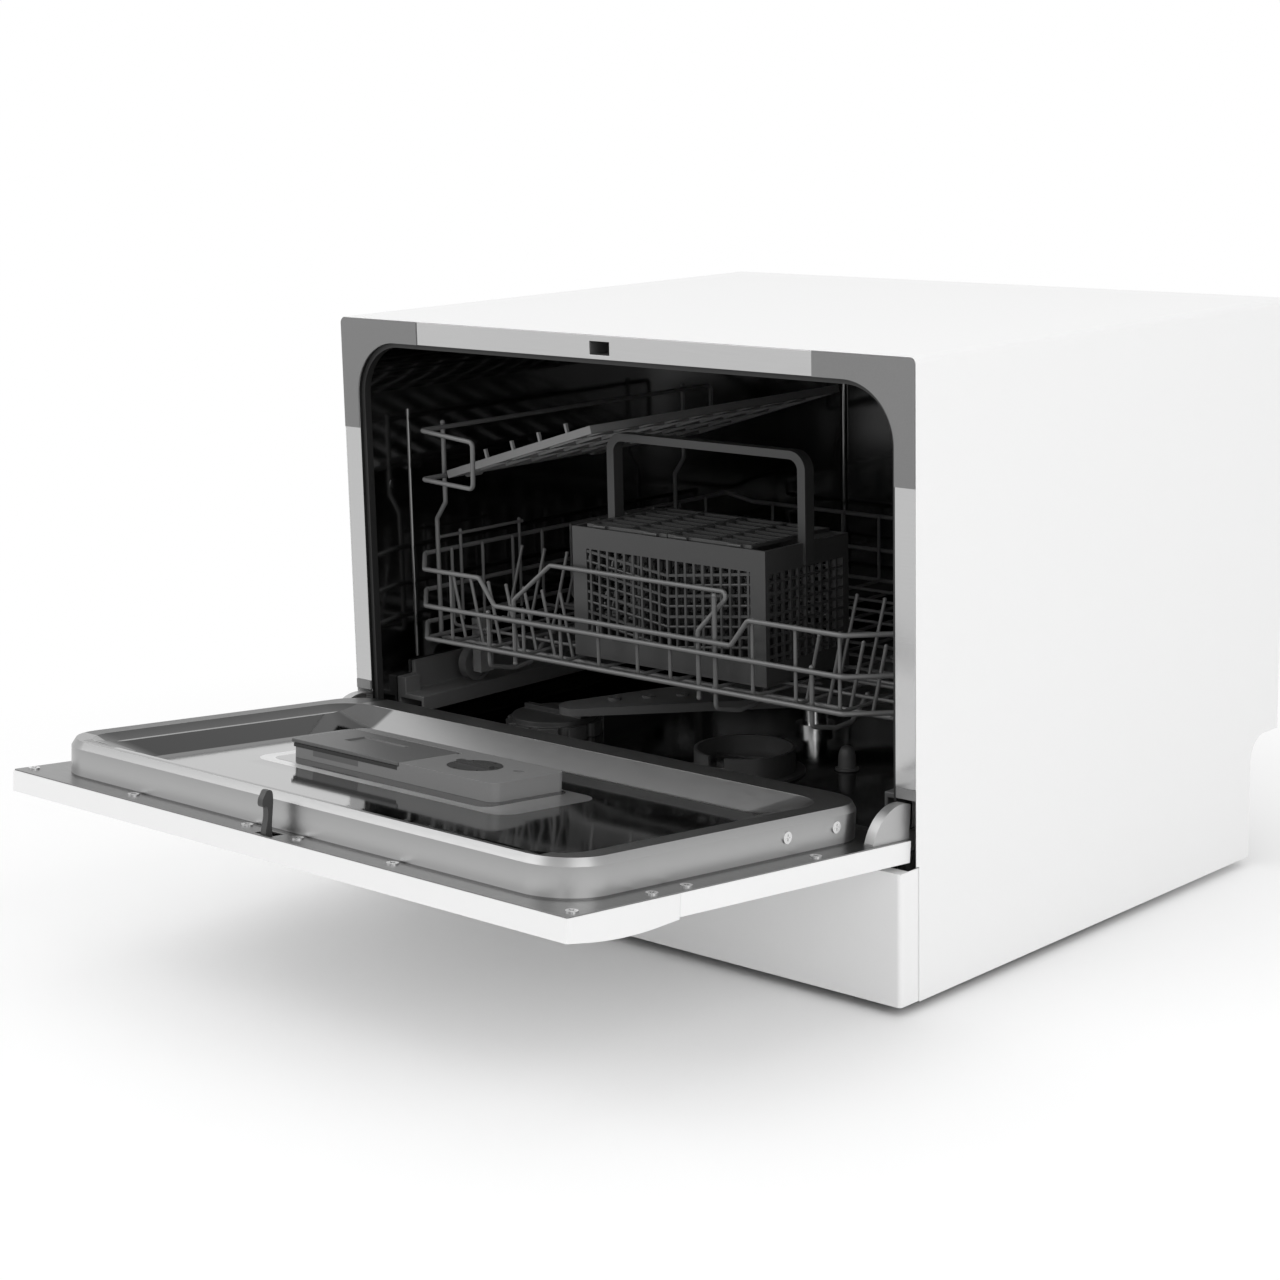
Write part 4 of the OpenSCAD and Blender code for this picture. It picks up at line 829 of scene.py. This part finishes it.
class DISHWASHER_OT_hook(bpy.types.Operator):
    """Draws the latch hook with its curved neck"""

    bl_idname = "dishwasher.hook"
    bl_label = "Latch hook"

    def execute(self, context):
        outline = smooth_outline(HOOK_OUTLINE, 3)
        mesh = slab("hook", outline, HOOK_LEFT, HOOK_WIDE)
        hook = added("hook", mesh)
        mesh.materials.append(bpy.data.materials["charcoal moulding"])
        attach(hook, "latch_hook")
        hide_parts("latch_hook")
        return {"FINISHED"}


class DISHWASHER_OT_lid_seal(bpy.types.Operator):
    """Adds a dark rubber seal under the detergent lid, which is also painted shadow for the gap there, and a
    dark band below it that is painted shade over the dispenser's notch
    """

    bl_idname = "dishwasher.lid_seal"
    bl_label = "Lid seal"

    def execute(self, context):
        # The seal is also painted shadow in the gap under the lid, and the band below it is painted shade
        # over the notch
        seal = self.trim((DISPENSER_LEFT + 3, DISPENSER_LEFT + LID_LONG - 1), SEAL_PROUD, SEAL_BELOW)
        notch_shade_band = self.trim((NOTCH_LEFT - 0.5, NOTCH_LEFT + NOTCH_LONG + 0.5), NOTCH_SHADE_PROUD, NOTCH_SHADE_BELOW)
        self.add("lid_seal", seal, "seal rubber", "seal_rubber")
        self.add("dispenser_strip", notch_shade_band, "slate moulding", "light_grey_plastic")
        return {"FINISHED"}

    def trim(self, across, proud, below):
        """A box let into the dispenser's front, a little proud of it, some way under its top."""
        front = (DISPENSER_FRONT - proud, DISPENSER_FRONT + TRIM_DEEP)
        return door_box(across, front, [DISPENSER_TOP + height for height in below])

    def add(self, name, shape, finish, slot):
        points, faces = shape
        mesh = bpy.data.meshes.new(name)
        mesh.from_pydata(points, [], faces)
        mesh.materials.append(bpy.data.materials[finish])
        piece = added(name, mesh)
        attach(piece, "door")


SOFT_NODES = (
    "casing", "door_outer_panel", "control_panel", "door_liner", "kick_plate", "hinge_cheek_left",
    "hinge_cheek_right", "dispenser_body", "detergent_lid", "wheel_rail_left", "wheel_rail_right",
    "front_frame", "spray_arm", "latch_catch", "cup_shelf", "float", "salt_cap", "coarse_filter",
)

# Wider rounding than the setting's, as a factor of it
WIDE_EDGES = {"dispenser_body": 2.5, "detergent_lid": 1.5, "float": 2.0}

# Corners closer than this, in metres, are one corner, and edges flatter than this angle are none
WELD = 0.00001
FLAT_ANGLE = math.radians(1)

# Edges sharper than this are rounded, and flat faces keep their full weight in the shading
SHARP_ANGLE = math.radians(18)
FLAT_WEIGHT = 100


class DISHWASHER_OT_edges(bpy.types.Operator):
    """Rounds the sharp edges of the pieces that show most"""

    bl_idname = "dishwasher.edges"
    bl_label = "Soft edges"

    def execute(self, context):
        for node in SOFT_NODES:
            self.soften(node, context.scene.dishwasher.edge * WIDE_EDGES.get(node, 1.0))
        return {"FINISHED"}

    def merged(self, node):
        """A copy of a solid's mesh whose loose triangles are joined into whole faces."""
        mesh = NODES[node].data.copy()
        shape = bmesh.new()
        shape.from_mesh(mesh)
        bmesh.ops.remove_doubles(shape, verts=shape.verts, dist=WELD)
        bmesh.ops.dissolve_limit(shape, angle_limit=FLAT_ANGLE, verts=shape.verts, edges=shape.edges)
        shape.to_mesh(mesh)
        shape.free()
        if mesh.has_custom_normals:
            mesh.attributes.remove(mesh.attributes["custom_normal"])
        return mesh

    def soften(self, node, width):
        mesh = self.merged(node)
        piece = added(node + "_soft", mesh)
        mesh.shade_smooth()
        bevel = piece.modifiers.new("bevel", "BEVEL")
        bevel.width = width
        bevel.segments = 2
        bevel.limit_method = "ANGLE"
        bevel.angle_limit = SHARP_ANGLE
        bevel.use_clamp_overlap = True
        flat = piece.modifiers.new("flat faces", "WEIGHTED_NORMAL")
        flat.weight = FLAT_WEIGHT
        depsgraph = bpy.context.evaluated_depsgraph_get()
        baked = bpy.data.meshes.new_from_object(piece.evaluated_get(depsgraph))
        piece.modifiers.clear()
        piece.data = baked
        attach(piece, BODY_OF[node])
        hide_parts(node)


# The lamps: name, place in metres, width and power
LAMPS = (
    ("key", (-1.6, -2.4, 2.6), 3.0, 42),
    ("fill", (2.8, -0.6, 1.6), 2.2, 26),
    ("top", (0.0, 0.6, 3.0), 2.4, 7),
    ("corner", (1.3, -1.7, 0.7), 0.6, 1.5),
)
LAMPS_AIM = Vector((0, 0, 0.2))

# The floor's own shade fades into the backdrop between these distances, in metres
FADE_FROM = 0.3
FADE_TO = 0.95

# The camera, fitted to the photograph: turn, height and roll in degrees, and place in millimetres
CAMERA_ANGLES = (42.742, 12.158, -1.314)
CAMERA_SPOT = (1317.66, -1392.54, 631.16)
FOCAL_PIXELS = 2728.5
PICTURE_PIXELS = 1280
SENSOR = 36


class DISHWASHER_OT_stage(bpy.types.Operator):
    """Sets the floor, the backdrop, the lamps and the camera"""

    bl_idname = "dishwasher.stage"
    bl_label = "Stage"

    def execute(self, context):
        settings = context.scene.dishwasher
        self.floor(settings)
        self.backdrop(context.scene, settings)
        self.lamps()
        self.camera(context.scene)
        context.scene.view_settings.view_transform = "Standard"
        return {"FINISHED"}

    def floor(self, settings):
        half = settings.floor_size / 2
        corners = [(-half, -half, 0), (half, -half, 0), (half, half, 0), (-half, half, 0)]
        mesh = bpy.data.meshes.new("floor")
        mesh.from_pydata(corners, [], [(0, 1, 2, 3)])
        floor = added("floor", mesh)
        shade = Shade("pale floor")
        shade.set(Base_Color=(0.9, 0.9, 0.9, 1), Roughness=0.7)
        seen = seen_rays(shade)
        where = shade.node("ShaderNodeTexCoord").outputs["Object"]
        length = shade.node("ShaderNodeVectorMath", {"operation": "LENGTH"}, {0: where})
        away = Value(shade, length.outputs["Value"])
        faded = ((away - FADE_FROM) / (FADE_TO - FADE_FROM)).clamped()
        glow = shade.node("ShaderNodeEmission", {}, {"Color": (*settings.backdrop, 1), "Strength": 1.0})
        mix = shade.node("ShaderNodeMixShader", {}, {
            0: seen * faded, 1: shade.shader.outputs[0], 2: glow.outputs[0],
        })
        shade.tree.links.new(mix.outputs[0], shade.tree.nodes["Material Output"].inputs[0])
        mesh.materials.append(shade.material)

    def backdrop(self, scene, settings):
        world = bpy.data.worlds.new("studio")
        world.use_nodes = True
        shade = Shade.over(world.node_tree)
        light = world.node_tree.nodes["Background"]
        light.inputs["Color"].default_value = (1, 1, 1, 1)
        light.inputs["Strength"].default_value = settings.dome
        white = shade.node("ShaderNodeBackground", {}, {"Color": (*settings.backdrop, 1), "Strength": 1.0})
        mix = shade.node("ShaderNodeMixShader", {}, {
            0: seen_rays(shade), 1: light.outputs[0], 2: white.outputs[0],
        })
        world.node_tree.links.new(mix.outputs[0], world.node_tree.nodes["World Output"].inputs[0])
        scene.world = world

    def lamps(self):
        for name, spot, size, power in LAMPS:
            lamp = bpy.data.lights.new(name, "AREA")
            lamp.energy = power
            lamp.size = size
            item = added(name, lamp)
            item.location = spot
            aim = LAMPS_AIM - Vector(spot)
            item.rotation_mode = "QUATERNION"
            item.rotation_quaternion = aim.to_track_quat("-Z", "Y")

    def camera(self, scene):
        turn, height, roll = (math.radians(angle) for angle in CAMERA_ANGLES)
        data = bpy.data.cameras.new("camera")
        data.sensor_width = SENSOR
        data.lens = SENSOR * FOCAL_PIXELS / PICTURE_PIXELS
        data.clip_start = 0.05
        data.clip_end = 50
        camera = added("camera", data)
        back = Vector((
            math.sin(turn) * math.cos(height),
            -math.cos(turn) * math.cos(height),
            math.sin(height),
        ))
        side = Vector((0, 0, 1)).cross(back).normalized()
        up = back.cross(side)
        level = Matrix((side, up, back)).transposed()
        camera.matrix_world = (
            Matrix.Translation(placed(*CAMERA_SPOT))
            @ (level @ Matrix.Rotation(roll, 3, "Z")).to_4x4()
        )
        scene.camera = camera


class DISHWASHER_PT_panel(bpy.types.Panel):
    """Lists the steps that dress the machine"""

    bl_label = "Dishwasher"
    bl_space_type = "VIEW_3D"
    bl_region_type = "UI"
    bl_category = "Dishwasher"

    def draw(self, context):
        for step in STEPS:
            self.layout.operator(step.bl_idname)


STEPS = (
    DISHWASHER_OT_finishes, DISHWASHER_OT_wires, DISHWASHER_OT_basket, DISHWASHER_OT_hook,
    DISHWASHER_OT_lid_seal, DISHWASHER_OT_edges, DISHWASHER_OT_stage,
)
CLASSES = (DishwasherSettings, *STEPS, DISHWASHER_PT_panel)


def register():
    for kind in CLASSES:
        bpy.utils.register_class(kind)
    bpy.types.Scene.dishwasher = bpy.props.PointerProperty(type=DishwasherSettings)


def unregister():
    del bpy.types.Scene.dishwasher
    for kind in reversed(CLASSES):
        bpy.utils.unregister_class(kind)


def main():
    register()
    for step in STEPS:
        group, name = step.bl_idname.split(".")
        getattr(getattr(bpy.ops, group), name)()


if __name__ == "__main__":
    main()
